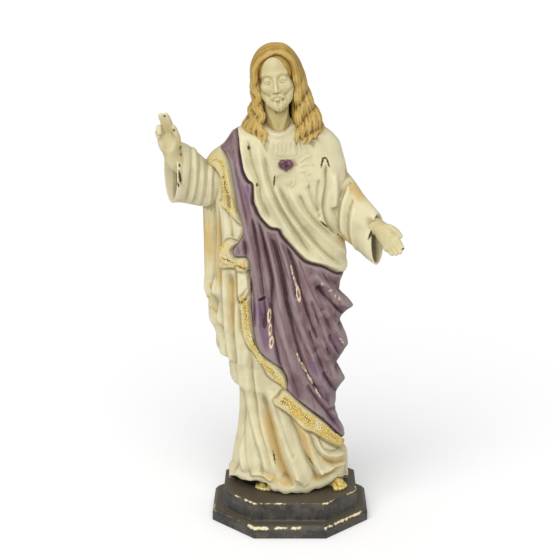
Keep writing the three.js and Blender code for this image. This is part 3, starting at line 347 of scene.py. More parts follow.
RIGHT_HAIR = [
    [(-17, -25, 591, 2.6), (-8, -25, 589.5, 3.2), (1.5, -22, 581, 3.8), (6.5, -19, 566, 4.4),
     (9, -17, 547, 4.8), (10, -17, 529, 5.0), (10.5, -22, 514, 4.8), (11, -30, 500, 4.4),
     (7, -38, 486, 1.5)],
    [(-16, -8, 598, 3.0), (-8, -8, 596, 4.2), (1, -7, 588, 5.0), (8.5, -6, 574, 5.4),
     (14.5, -5, 554, 5.8), (19, -5, 536, 6.2), (26.5, -10, 519, 6.4), (32, -19, 503, 6.0),
     (27, -28, 485, 1.8)],
    [(-16, 12, 595, 3.0), (-9, 15, 592, 4.6), (-1, 17, 584, 5.4), (7, 18, 570, 6.0),
     (13, 18, 550, 6.2), (18, 18, 532, 6.4), (25, 15, 514, 6.8), (32, 8, 498, 6.2),
     (34, 0, 484, 2.2)],
    [(-16, 20, 590, 3.0), (-13, 24, 583, 5.0), (-9, 27, 573, 6.4), (-6, 28, 560, 7.0),
     (-4, 29, 543, 7.0), (-2, 29, 525, 7.0), (0, 30, 505, 7.0), (4, 32, 488, 6.5),
     (2, 34, 470, 2.4)],
    MIDDLE_HAIR,
]
HEAD_PLACE = (-17, -8, 564)
HEAD_TURNS = (0.1, -0.14, -0.06)
HAIR_AXIS = (-17, 6, 560)
LOCK_STRANDS = 6
HEART_PLACE = (-5, -50.5, 462)
HEART_LEAN = -0.24
HEART_THORNS = 13

# Beard and moustache, in the head's own axes: stations (x, y, z, radius) of the right half, mirrored
BEARD_LOCKS = [
    [(17.6, -8.0, -8.0, 1.6), (17.2, -10.5, -15.0, 2.8), (15.2, -14.5, -22.0, 3.6), (12.6, -17.4, -28.5, 3.4),
     (10.6, -18.8, -32.5, 1.8)],
    [(14.6, -14.0, -18.0, 2.0), (12.8, -17.0, -23.5, 3.4), (10.2, -20.0, -29.5, 3.6),
     (7.8, -21.6, -35.0, 1.9)],
    [(10.2, -19.6, -23.6, 1.8), (8.4, -22.0, -28.0, 3.0), (6.4, -23.4, -32.6, 3.2), (4.6, -23.8, -37.2, 1.8)],
    [(3.8, -24.2, -27.6, 1.6), (4.0, -25.6, -30.6, 2.8), (2.8, -25.8, -34.2, 3.0), (1.6, -24.8, -38.4, 1.8)],
    [(0.8, -27.6, -19.4, 0.9), (4.2, -26.8, -20.6, 1.7), (7.8, -24.4, -23.6, 1.9), (10.0, -21.6, -29.0, 1.3)],
]

# The borders' raised ornament: its lift off the cloth, and its middle lines as points of (x, height)
RELIEF_LIFT = 0.15
RELIEF_SEED = 7
BORDER_LINES = [
    [(-92, 462), (-84, 466), (-77, 462), (-75, 450), (-72, 436), (-67, 420), (-64, 406)],
    [(-79, 444), (-76, 430), (-75, 418), (-71, 406)],
    [(-77, 364), (-80, 356), (-79, 346), (-70, 342), (-60, 340), (-52, 339)],
    [(-74, 353), (-73, 348), (-64, 345)],
    [(-56, 302), (-53, 284), (-51, 265), (-44, 242), (-38, 228), (-28, 214), (-18, 204), (-9, 192),
     (-6, 184)],
    [(-51, 296), (-49, 276), (-47, 258), (-40, 238), (-30, 222), (-20, 210)],
    [(-10, 166), (4, 156), (18, 143), (34, 130), (50, 114), (62, 102), (72, 90)],
    [(-6, 161), (8, 150), (22, 137), (38, 124), (53, 109), (64, 99)],
    [(-8, 170), (6, 158), (20, 146), (36, 132), (52, 116), (64, 103)],
    [(-6, 174), (8, 161), (22, 148), (38, 134), (54, 117), (64, 106)],
    [(-2, 157), (12, 144), (26, 131), (42, 117), (56, 104), (66, 96)],
    [(-99, 306), (-98, 296), (-97, 284), (-94, 275)],
]

# Toes from the big one: [place across, radius, how far forward]
TOES = [(-7.6, 3.4, -16.5), (-2.4, 2.6, -17.0), (1.8, 2.4, -15.6), (5.4, 2.2, -13.4), (8.6, 2.0, -10.6)]

# Chips in the paint: [x, y, height, half width, half length, lean in radians]
DARK_CHIPS = [
    (-49, -36, 480, 1.5, 2.0, 0.4), (-18.5, -50, 444, 0.9, 5.5, -0.12), (38, -40, 463, 1.0, 4.5, -0.25),
    (41, -40, 468, 2.4, 1.0, 0.0), (45, -40, 463, 1.0, 4.5, 0.3), (-39, -50, 439, 1.2, 1.6, 0.3),
    (41, -48, 389, 0.9, 5.6, 0.75), (-129.2, -62, 449, 1.3, 6.6, 0.1), (-131.4, -62, 440, 0.9, 2.4, 0.2),
    (-57, -50, 161, 0.8, 4.4, 0.1), (-20, -56, 91, 1.0, 7.6, 0.18), (25, -54, 86, 1.0, 9.0, 0.55),
    (-144, -70, 523, 1.2, 1.3, 0.0), (-134, -66, 506, 1.0, 1.3, 0.3), (131, -98, 372, 1.1, 1.1, 0.0),
    (128, -96, 366, 1.0, 1.0, 0.0), (-62, -52, 296, 1.6, 1.1, 0.5), (95, -58, 381, 1.2, 5.0, -0.3),
    (-129.4, -62, 463, 0.8, 1.8, 0.1), (-128, -62, 483, 0.8, 2.4, 0.0), (-127.8, -62, 475, 0.7, 1.4, 0.0)]
BLACK_CHIPS = [(-34, -54, 300, 5.2, 2.4, 0.3)]
PALE_CHIPS = [
    (2, -56, 335, 0.8, 6.0, 0.2), (6, -56, 321, 0.8, 6.0, 0.3), (10, -56, 306, 2.1, 9.0, 0.15),
    (-25, -56, 279, 2.0, 8.0, -0.05), (-24, -56, 262, 1.6, 7.0, -0.08), (-22.5, -56, 246, 2.2, 7.0, -0.1),
    (10, -54, 226, 0.9, 6.0, 0.3), (17, -54, 211, 1.2, 8.0, 0.45), (25, -54, 194, 1.2, 9.0, 0.45),
    (34, -52, 176, 0.6, 9.0, 0.5), (39, -50, 317, 1.2, 1.6, 0.0), (49, -48, 308, 1.8, 1.3, 0.2),
    (60, -42, 296, 1.2, 2.0, 0.3), (55, -44, 300, 0.9, 1.4, 0.0), (-19, -52, 212, 0.7, 3.0, -0.2),
    (64, -34, 240, 0.7, 5.0, 0.6), (58, -42, 172, 0.7, 6.0, 0.9)]
CHIP_DEPTH = 14

# Where the ochre glazing has gathered, along grooves and valleys where it also stands for painted shade, as
# lines of (x, height) with a reach
OCHRE_GLAZE_AND_SHADE_LINES = [
    [9, (-31, 160), (-25, 133), (-18, 102), (-6, 72), (5, 52)], [8, (66, 436), (76, 428), (84, 416)],
    [7, (-70, 330), (-70, 290), (-68, 250)],
    [6, (22, 66), (36, 60), (52, 66), (66, 74)], [6, (-40, 66), (-24, 62), (-10, 56), (6, 52)],
    [6, (8, 150), (20, 112), (30, 80)], [5, (-100, 400), (-100, 330)], [5, (-90, 400), (-88, 300)],
    [7, (40, 90), (56, 80), (72, 80)], [5, (-30, 330), (-26, 300)], [6, (56, 372), (72, 362)],
]

# Where the mauve turns to violet, in the same way
VIOLET_LINES = [
    [8, (-38, 310), (-33, 270), (-25, 240), (-14, 214)], [7, (22, 226), (34, 196), (52, 158)],
    [6, (60, 250), (58, 232)], [6, (-58, 470), (-52, 440), (-46, 410)], [7, (50, 145), (62, 120)],
]

# Plinth: chamfers of the tiers, and facets of a side: slant, flank, and front or back
UPPER_CHAMFER = 40
LOWER_CHAMFER = 54
SIDE_FACETS = (44, 34, 44)
LOWER_ROUNDING = 4        # height of the rounding along each tier's upper edge
UPPER_ROUNDING = 2
TOP_INSETS = (4, 8, 14, 22, 32)
# Chips along the front of the plinth's two upper edges: [x from, x to, reach against the largest one's]
LARGEST_CHIP = 3.4
CHIP_FRONT = -20          # chips lie in front of this y
UPPER_CHIPS = [(-72, -62, 1.6), (-56, -41, 2.6), (-41, -24, 1.6), (-22, -7, 2.2), (40, 55, 2.6),
               (72, 86, 2.2), (14, 18, 0.8)]
LOWER_CHIPS = [(-52, -28, 3.2), (-19, -2, 2.6), (1, 14, 3.4), (44, 52, 1.8), (56, 89, 2.4), (-99, -95, 1.0)]

# Paint. Pattern scales are repeats in a metre, worked out from the width of one
MIX_FACTOR, MIX_A, MIX_B, MIX_RESULT = 0, 6, 7, 2   # sockets of a colour mix
PAINT_IOR = 1.5
PAINT_GLOSS = 0.35
BLOTCH_SCALE = 38.0       # clouds of tone about 26 mm wide
SPECK_SCALE = 520.0       # specks of grit and wear, 2 mm: real ones are finer, but wouldn't show
RAGGED_SCALE = 420.0      # teeth of a chip's edge, 2.4 mm
RAGGED_REACH = 2.6        # how far those teeth reach, in millimetres
STREAK_SCALE = 230.0      # brush marks 4 mm wide
STREAK_STRETCH = 7        # and so many times as long
MOTTLE_SCALE = 640.0      # mottled gilding of the borders, 1.6 mm
CLOUD_SCALE = 90.0        # handling marks on the plinth, 11 mm
FRAY_SCALE = 260.0        # frayed ends of the plinth's chips, 4 mm
SMOOTHING = 0.6           # how strongly a round smooths the surface that hollows are measured from
SMOOTHING_ROUNDS = 14
# dull cream, and the brown of its hollows, which is glazing and painted shade
CREAM_DULL_AND_GLAZE_SHADE = ("#bbb290", "#978a60")
# darker cream for the inside of the cuffs, as painted shade there
SHADED_LINING_TONES = ("#aa9f78", "#988d68", "#574c30")
SKIN_TONES = ("#c3b88c", "#b8ab80", "#8a7442")
# darker skin paint for the throat, as painted shade under the head and beard
SHADED_THROAT_TONES = ("#b3a36e", "#a99864", "#7f6636")

# Stage
CAMERA_SHIFT = (-10, 6)   # pixels to the right and upwards
KEY_PLACE = (-0.22, -1.0, 0.95)
FLOOR_HALF = 60000.0
PAPER_WHITE = "#fbfbfb"


def srgb(colour):
    """Linear colour of an sRGB hex value."""
    parts = [int(colour[i:i + 2], 16) / 255 for i in (1, 3, 5)]
    linear = [part / 12.92 if part <= 0.04045 else ((part + 0.055) / 1.055) ** 2.4 for part in parts]
    return (*linear, 1.0)


class FigureSettings(bpy.types.PropertyGroup):
    """Sizes and colours of the cast figure."""

    fold_depth: bpy.props.FloatProperty(
        name="Fold depth", description="Depth of all folds against that of the tables", default=1.3, min=0.0)
    hair_locks: bpy.props.IntProperty(
        name="Locks a side", description="Locks of hair on each side of the parting", default=17, min=4)
    wave_size: bpy.props.FloatProperty(
        name="Wave of the hair", description="How far a lock swings from its line", default=3.0 * MM,
        unit="LENGTH")
    wave_length: bpy.props.FloatProperty(
        name="Wavelength of the hair", description="Length of a wave along a lock", default=24 * MM,
        unit="LENGTH")
    relief_spacing: bpy.props.FloatProperty(
        name="Border pattern spacing", description="Distance between curls on the borders",
        default=3.4 * MM, unit="LENGTH")
    relief_size: bpy.props.FloatProperty(
        name="Curl size", description="Diameter of a curl on the borders", default=4.6 * MM,
        unit="LENGTH")
    facets: bpy.props.IntProperty(
        name="Facets", description="Triangles kept on the whole figure", default=186000)
    # the glazing over the mantle stands also for painted shade in its hollows and a painted highlight on its
    # crests
    mantle_colour: bpy.props.FloatVectorProperty(
        name="Mantle", description="Mauve of the mantle under its streaks and glaze", subtype="COLOR",
        size=4, min=0.0, max=1.0, default=srgb("#73585c"))
    # the glazing over the cream stands also for painted shade in its hollows and a painted highlight on its
    # crests
    cream_colour: bpy.props.FloatVectorProperty(
        name="Cream", description="Cream of the tunic and the sleeves under its glaze", subtype="COLOR",
        size=4, min=0.0, max=1.0, default=srgb("#c8bf9b"))
    # over the hair's brown lie lighter brushing, painted shade in its grooves and a painted highlight on its
    # crests
    hair_colour: bpy.props.FloatVectorProperty(
        name="Hair", description="Brown of the hair under its lighter brushing", subtype="COLOR",
        size=4, min=0.0, max=1.0, default=srgb("#94722e"))
    gold_colour: bpy.props.FloatVectorProperty(
        name="Gold", description="Yellow of the raised ornament and the toes", subtype="COLOR",
        size=4, min=0.0, max=1.0, default=srgb("#c8a94a"))


class PlinthSettings(bpy.types.PropertyGroup):
    """Sizes and colours of the plinth."""

    upper_half_width: bpy.props.FloatProperty(
        name="Upper half width", description="Half width of the upper tier", default=85 * MM, unit="LENGTH")
    upper_half_depth: bpy.props.FloatProperty(
        name="Upper half depth", description="Half depth of the upper tier", default=73 * MM, unit="LENGTH")
    lower_height: bpy.props.FloatProperty(
        name="Lower tier height", description="Height of the lower tier", default=16 * MM, unit="LENGTH")
    chip_width: bpy.props.FloatProperty(
        name="Chip width", description="How far the largest chip reaches from an edge", default=1.8 * MM,
        unit="LENGTH")
    paint_colour: bpy.props.FloatVectorProperty(
        name="Paint", description="Black of the plinth under its wear", subtype="COLOR", size=4,
        min=0.0, max=1.0, default=srgb("#33312e"))


class StageSettings(bpy.types.PropertyGroup):
    """Camera and light."""

    distance: bpy.props.FloatProperty(
        name="Camera distance", description="Distance in front of the figure", default=1.55, unit="LENGTH")
    height: bpy.props.FloatProperty(
        name="Camera height", description="Height above the floor", default=0.722, unit="LENGTH")
    tilt: bpy.props.FloatProperty(
        name="Camera tilt", description="How far the camera looks down", default=math.radians(15.2),
        subtype="ANGLE")
    focal: bpy.props.FloatProperty(
        name="Focal length", description="Focal length on a 36 mm sensor, in millimetres",
        default=SENSOR_WIDTH * 1287 / IMAGE_SIZE)
    key_strength: bpy.props.FloatProperty(
        name="Key light", description="Strength of the broad light from the front", default=2.6)
    key_width: bpy.props.FloatProperty(
        name="Key softness", description="How wide the broad light looks from the figure",
        default=math.radians(65), subtype="ANGLE")
    sky: bpy.props.FloatProperty(
        name="Surround", description="Strength of the even white surround", default=0.5)


def smoothstep(low, high, value):
    """Runs softly from 0 to 1 as a value goes from low to high."""
    t = np.clip((value - low) / (high - low), 0, 1)
    return t * t * (3 - 2 * t)


def smooth_run(stations, steps=6):
    """Stations filled in by a smooth curve through each of their numbers."""
    s = np.asarray(stations, float)
    padded = np.vstack([s[:1], s, s[-1:]])
    t = np.linspace(0, 1, steps, endpoint=False)[:, None]
    runs = [b + 0.5 * t * (c - a + t * (2 * a - 5 * b + 4 * c - d + t * (3 * (b - c) + d - a)))
            for a, b, c, d in zip(padded, padded[1:], padded[2:], padded[3:])]
    return np.vstack(runs + [s[-1:]])


def nearest_on(line, x, z):
    """Distance from points to a line, and how far along the line their nearest place is."""
    distance = np.full(np.shape(x), 1e3)
    share = np.zeros(np.shape(x))
    for i, (a, b) in enumerate(zip(line, line[1:])):
        along = b - a
        t = np.clip(((x - a[0]) * along[0] + (z - a[1]) * along[1]) / (along @ along), 0, 1)
        off = np.hypot(x - a[0] - t * along[0], z - a[1] - t * along[1])
        closer = off < distance
        distance = np.where(closer, off, distance)
        share = np.where(closer, (i + t) / (len(line) - 1), share)
    return distance, share


def field_depth(corners, x, z, margin=14):
    """Distance from a field's outline, its corners rounded: plus inside and minus outside, near it alone."""
    wrapped = np.array(corners[-2:] + corners + corners[:2], float)
    ring = smooth_run(wrapped, 4)[8:-4]
    low, high = ring.min(0) - margin, ring.max(0) + margin
    near = (x > low[0]) & (x < high[0]) & (z > low[1]) & (z < high[1])
    near_x, near_z = x[near], z[near]
    distance, _ = nearest_on(ring, near_x, near_z)
    inside = np.zeros(near_x.shape, bool)
    for a, b in zip(ring, ring[1:]):
        crosses = (a[1] > near_z) != (b[1] > near_z)
        slope = (b[0] - a[0]) / (b[1] - a[1] if b[1] != a[1] else 1)
        inside ^= crosses & (near_x < a[0] + slope * (near_z - a[1]))
    depth = np.full(x.shape, -99.0)
    depth[near] = np.where(inside, distance, -distance)
    return depth


def fold_rise(folds, x, z):
    """Rise of a set of folds at points, each fold dying away at both its ends."""
    rise = np.zeros_like(x)
    for reach, height, *points in folds:
        line = smooth_run(points)
        margin = 3 * reach
        low, high = line.min(0) - margin, line.max(0) + margin
        near = (x > low[0]) & (x < high[0]) & (z > low[1]) & (z < high[1])
        distance, share = nearest_on(line, x[near], z[near])
        fade = smoothstep(0, START_FADE, share) * smoothstep(1, 1 - END_FADE, share)
        sharpness = 2 if height > 0 else 1.3
        rise[near] += height * fade * np.exp(-((distance / reach) ** sharpness))
    return rise


def layer_rise(depth, layer):
    """Rise of a layer of cloth over its edge, with a narrow tuck just outside it."""
    step, rounding, tuck = layer
    fade = 0.45 + 0.55 * np.exp(-np.maximum(depth, 0) / 26)
    return step * fade * smoothstep(0, rounding, depth) - tuck * np.exp(-((depth + 1.4) / 1.3) ** 2)


def creases(x, z, fan):
    """Fine narrow creases that fan out from a place above, now deeper and now shallower."""
    from_x, from_z, count, depth = fan
    way = np.arctan2(x - from_x, from_z - z) * count
    swell = 0.5 + 0.5 * np.sin(0.37 * way + z / 29) * np.sin(0.23 * way - z / 47 + 2)
    return -depth * swell * (1 - np.abs(np.sin(way / 2 + 0.8 * np.sin(z / 38)))) ** 1.5


def front_rise(x, z):
    """Rise of the front's folds, layers of cloth, creases and broad forms."""
    rise = fold_rise(FRONT_FOLDS, x, z)
    mauve = field_depth(MAUVE_FRONT, x, z)
    borders = [field_depth(border, x, z) for border in BORDERS]
    mantle = np.maximum.reduce([mauve] + borders)
    chest = field_depth(CHEST_FIELD, x, z)
    rise += layer_rise(mantle, MANTLE_LAYER)
    rise += smoothstep(1, 6, mauve) * creases(x, z, MANTLE_CREASES)
    bare = smoothstep(-1, -5, mantle) * smoothstep(-1, -5, chest)
    drape = smoothstep(-58, -64, x) * smoothstep(158, 172, z)
    rise += bare * drape * creases(x, z, DRAPE_CREASES)
    rise += bare * (1 - drape) * smoothstep(300, 260, z) * creases(x, z, TUNIC_CREASES)
    for border in borders:
        rise += layer_rise(border, BORDER_LAYER)
    rise += layer_rise(field_depth(LINING_DISC, x, z), DISC_LAYER)
    rise += layer_rise(chest, CHEST_LAYER)
    for form_x, form_z, reach, height in BROAD_FORMS:
        rise += height * np.exp(-((x - form_x) ** 2 + (z - form_z) ** 2) / reach ** 2)
    return rise


def back_rise(x, z):
    """Rise of the back's folds and of the mantle over the tunic."""
    return fold_rise(BACK_FOLDS, x, z) + layer_rise(field_depth(MAUVE_BACK, x, z), BACK_LAYER)


def outline_at(table, z):
    """Reach of an outline at heights, with its turns rounded."""
    heights, reaches = np.array(table, float).T
    samples = np.arange(heights[0] - 10, heights[-1] + 10, 0.5)
    kernel = np.exp(-0.5 * (np.arange(-16, 17) * 0.5 / OUTLINE_SOFTNESS) ** 2)
    padded = np.pad(np.interp(samples, heights, reaches), 16, "edge")
    return np.interp(z, samples, np.convolve(padded, kernel / kernel.sum(), "valid"))


def robe_points(angle, z, inset=0.0, depth=1.0):
    """Points of the robe at angles (0 at +x, a quarter turn at the back) and heights, and the smooth ones."""
    core = outline_at(CORE_LINE, z)
    c, s = np.cos(angle), np.sin(angle)
    slanted = z + SIDE_SLANT * SIDE_DEPTH * s * smoothstep(70, 110, z) * smoothstep(400, 340, z)
    right = outline_at(RIGHT_OUTLINE, slanted) - core
    left = outline_at(LEFT_OUTLINE, z) + core
    reach_x = np.where(c > 0, right, left) - inset
    reach_y = np.where(s > 0, outline_at(BACK_OUTLINE, z), outline_at(FRONT_OUTLINE, z)) - inset
    power = FOOT_POWER + (SECTION_POWER - FOOT_POWER) * smoothstep(40, 90, z)
    x = core + reach_x * np.sign(c) * np.abs(c) ** (2 / power)
    y = reach_y * np.sign(s) * np.abs(s) ** (2 / power)
    flat_x, flat_z = x.ravel(), np.broadcast_to(z, x.shape).ravel()
    front = s.ravel() < 0 if s.shape == x.shape else np.broadcast_to(s < 0, x.shape).ravel()
    rise = np.zeros(flat_x.shape)
    rise[front] = front_rise(flat_x[front], flat_z[front])
    rise[~front] = back_rise(flat_x[~front], flat_z[~front])
    facing = smoothstep(0.12, 0.6, np.abs(s) ** 0.7)
    rise = rise.reshape(x.shape) * facing
    sideways = smoothstep(0.4, 0.8, np.abs(c))
    level = z + 0 * y
    sides = np.where(c > 0, fold_rise(RIGHT_SIDE_FOLDS, y, level), fold_rise(LEFT_SIDE_FOLDS, y, level))
    rise = (rise + sides * sideways) * depth
    outward = np.stack([c / reach_x, s / reach_y + 0 * x, 0 * x], -1)
    outward /= np.linalg.norm(outward, axis=-1, keepdims=True)
    base = np.stack([x, y, level], -1)
    return base + outward * rise[..., None], base


def loft(rings):
    """Closed surface through rings of equally many points, its ends filled from their middles."""
    rings = np.asarray(rings, float)
    rows, columns = rings.shape[:2]
    points = np.vstack([rings.reshape(-1, 3), rings[0].mean(0), rings[-1].mean(0)])
    index = np.arange(rows * columns).reshape(rows, columns)
    following = np.roll(index, -1, 1)
    a, b, c, d = index[:-1], following[:-1], following[1:], index[1:]
    first, last = rows * columns, rows * columns + 1
    faces = [np.stack([a, b, c], -1).reshape(-1, 3), np.stack([a, c, d], -1).reshape(-1, 3),
             np.stack([0 * index[0] + first, following[0], index[0]], -1),
             np.stack([0 * index[0] + last, index[-1], following[-1]], -1)]
    return outward_facing(points, np.concatenate(faces))


def outward_facing(points, faces):
    """Points and faces, the faces turned over where their volume comes out negative."""
    a, b, c = points[faces[:, 0]], points[faces[:, 1]], points[faces[:, 2]]
    volume = np.einsum("ij,ij->i", a, np.cross(b, c)).sum()
    return points, faces if volume > 0 else faces[:, ::-1]


def make_object(name, points, faces, materials=(), kinds=None):
    """Object at the origin with its mesh, given in millimetres, in place; kinds picks materials."""
    mesh = bpy.data.meshes.new(name)
    mesh.vertices.add(len(points))
    mesh.vertices.foreach_set("co", (np.asarray(points) * MM).astype(np.float32).ravel())
    mesh.loops.add(faces.size)
    mesh.loops.foreach_set("vertex_index", faces.astype(np.int32).ravel())
    mesh.polygons.add(len(faces))
    mesh.polygons.foreach_set("loop_start", np.arange(0, faces.size, 3, dtype=np.int32))
    mesh.polygons.foreach_set("use_smooth", np.ones(len(faces), bool))
    mesh.update(calc_edges=True)
    for material in materials:
        mesh.materials.append(material)
    if kinds is not None:
        mesh.polygons.foreach_set("material_index", kinds.astype(np.int32))
    made = bpy.data.objects.new(name, mesh)
    bpy.context.scene.collection.objects.link(made)
    return made


def settle(piece):
    """Turns a piece with modifiers into a plain mesh."""
    graph = bpy.context.evaluated_depsgraph_get()
    mesh = bpy.data.meshes.new_from_object(piece.evaluated_get(graph))
    piece.modifiers.clear()
    piece.data = mesh
    return piece


def thinned(piece, facets):
    """Piece with about as many triangles as asked, fewest where it is flat."""
    piece.data.calc_loop_triangles()
    count = len(piece.data.loop_triangles)
    if count > facets:
        fewer = piece.modifiers.new("Fewer facets", "DECIMATE")
        fewer.ratio = facets / count
        fewer.use_collapse_triangulate = True
        settle(piece)
    return piece


def shells(work):
    """Points of each connected part of a mesh."""
    seen = set()
    for start in work.verts:
        if start not in seen:
            seen.add(start)
            shell = [start]
            for point in shell:  # which grows as it is walked
                others = [edge.other_vert(point) for edge in point.link_edges]
                fresh = [other for other in others if other not in seen]
                seen.update(fresh)
                shell += fresh
            yield shell


def close_gaps(work):
    """Fills each gap in a mesh with facets about a point in its middle."""
    following = {}
    for edge in work.edges:
        if edge.is_boundary:
            beside = edge.link_loops[0]
            following[beside.link_loop_next.vert] = beside.vert
    while following:
        start, point = following.popitem()
        ring = [start]
        while point is not start:
            ring.append(point)
            point = following.pop(point)
        middle = work.verts.new(sum((point.co for point in ring), Vector()) / len(ring))
        for a, b in zip(ring, ring[1:] + ring[:1]):
            work.faces.new((a, b, middle)).smooth = True


def sound(piece):
    """Piece closed again after thinning: folded facets, knots and crumbs go, and the gaps are filled."""
    work = bmesh.new()
    work.from_mesh(piece.data)
    for _ in range(MEND_ROUNDS):
        folded = [face for face in work.faces if any(len(edge.link_faces) > 2 for edge in face.edges)]
        bmesh.ops.delete(work, geom=folded, context="FACES")
        knots = [point for point in work.verts if sum(edge.is_boundary for edge in point.link_edges) > 2]
        bmesh.ops.delete(work, geom=knots, context="VERTS")
        stray = [point for shell in shells(work) if len(shell) < CRUMB_POINTS for point in shell]
        bmesh.ops.delete(work, geom=stray, context="VERTS")
        if not folded and not knots and not stray:
            break
    close_gaps(work)
    work.to_mesh(piece.data)
    work.free()
    return piece


def points_of(mesh):
    """Places of a mesh's vertices, in millimetres."""
    flat = np.empty(3 * len(mesh.vertices), np.float32)
    mesh.vertices.foreach_get("co", flat)
    return flat.reshape(-1, 3).astype(float) / MM


class Clay:
    """Block modelled by adding and cutting rounded strokes; its values are distances, minus inside."""

    MARGIN = 5.0              # how far round a stroke the clay is worked, in millimetres
    FAR = 40.0                # value of clay that nothing has touched yet
    MEND_ROUNDS = 30

    def __init__(self, low, high, step):
        self.low = np.array(low, float)
        self.step = step
        self.axes = [np.arange(a, b, step, dtype=np.float32) for a, b in zip(low, high)]
        self.values = np.full([len(axis) for axis in self.axes], self.FAR, np.float32)

    def work(self, shape, low, high, blend, cut):
        """Blends a shape's distances into the clay between two corners."""
        spans = [slice(*np.searchsorted(axis, (a - self.MARGIN, b + self.MARGIN)))
                 for axis, a, b in zip(self.axes, low, high)]
        grid = np.meshgrid(*[axis[span] for axis, span in zip(self.axes, spans)], indexing="ij", sparse=True)
        sign = -1 if cut else 1
        new, old = sign * shape(*grid), self.values[tuple(spans)]
        share = np.clip(0.5 + 0.5 * sign * (old - new) / blend, 0, 1)
        mixed = old * (1 - share) + new * share - sign * blend * share * (1 - share)
        self.values[tuple(spans)] = mixed

    def stroke(self, *stations, blend=1.5, cut=False, steps=4):
        """Rounded stroke through stations (x, y, z, radius)."""
        run = smooth_run(stations, steps) if len(stations) > 2 else np.asarray(stations, float)
        self.run(run, None, blend, cut)

    def lock(self, run, across, out, strands, phase, blend):
        """Stroke that is grooved along its length; across and out say how it lies at each station."""

        def grooved(i, off):
            side = off[0] * across[i, 0] + off[1] * across[i, 1] + off[2] * across[i, 2]
            up = off[0] * out[i, 0] + off[1] * out[i, 1] + off[2] * out[i, 2]
            strand = np.abs(np.sin(strands * np.arctan2(up, side) / 2 + phase + 0.12 * i))
            depth = 0.12 + 0.14 * smoothstep(0.2, 0.45, i / len(run))
            return 1 - depth * (1 - strand) ** 1.4

        self.run(run, grooved, blend, False)

    def run(self, run, shape, blend, cut):
        """Blends in the round cones between stations, their radius changed by a shape where one is given."""
        run = run.astype(np.float32)

        def distance(x, y, z):
            nearest = np.full(np.broadcast_shapes(x.shape, y.shape, z.shape), 1e3, np.float32)
            for i, (a, b) in enumerate(zip(run, run[1:])):
                margin = max(a[3], b[3]) + self.MARGIN
                low, high = np.minimum(a, b)[:3] - margin, np.maximum(a, b)[:3] + margin
                box = tuple(slice(*np.searchsorted(axis.ravel(), ends))
                            for axis, ends in zip((x, y, z), zip(low, high)))
                way = b[:3] - a[:3]
                px, py, pz = x[box[0]] - a[0], y[:, box[1]] - a[1], z[:, :, box[2]] - a[2]
                t = np.clip((px * way[0] + py * way[1] + pz * way[2]) / max(way @ way, 1e-6), 0, 1)
                off = (px - t * way[0], py - t * way[1], pz - t * way[2])
                radius = a[3] + t * (b[3] - a[3])
                if shape:
                    radius = radius * shape(i, off)
                away = np.sqrt(off[0] ** 2 + off[1] ** 2 + off[2] ** 2) - radius
                nearest[box] = np.minimum(nearest[box], away)
            return nearest

        reach = run[:, 3:].max()
        self.work(distance, run[:, :3].min(0) - reach, run[:, :3].max(0) + reach, blend, cut)

    def blob(self, centre, radii, turns=(0, 0, 0), blend=2.0, cut=False):
        """Rounded lump with three radii."""
        turn = np.array(Euler(turns).to_matrix(), np.float32)

        def distance(x, y, z):
            x, y, z = x - centre[0], y - centre[1], z - centre[2]
            local = [turn[0, i] * x + turn[1, i] * y + turn[2, i] * z for i in range(3)]
            near = np.sqrt(sum((v / r) ** 2 for v, r in zip(local, radii)))
            slope = np.sqrt(sum((v / r ** 2) ** 2 for v, r in zip(local, radii)))
            return near * (near - 1) / np.maximum(slope, 1e-6)

        reach = max(radii)
        self.work(distance, np.array(centre) - reach, np.array(centre) + reach, blend, cut)

    def surface(self):
        """Closed surface of the clay; pinched places fill up until every edge has just two faces."""
        values = np.pad(self.values, 1, constant_values=1.0)
        for _ in range(self.MEND_ROUNDS):
            points, faces, cells = zero_surface(values, self.low - self.step, self.step)
            edges = np.sort(np.concatenate([faces[:, [0, 1]], faces[:, [1, 2]], faces[:, [2, 0]]]), 1)
            keys = edges[:, 0].astype(np.int64) * len(points) + edges[:, 1]
            keys, uses = np.unique(keys, return_counts=True)
            pinched = keys[uses != 2]
            if not len(pinched):
                return points, faces
            at = cells[np.unique(np.concatenate([pinched // len(points), pinched % len(points)]))]
            for corner in np.ndindex(2, 2, 2):
                values[tuple((at + corner).T)] -= 0.25 * self.step
        raise RuntimeError("a modelled part has an edge without just two faces")


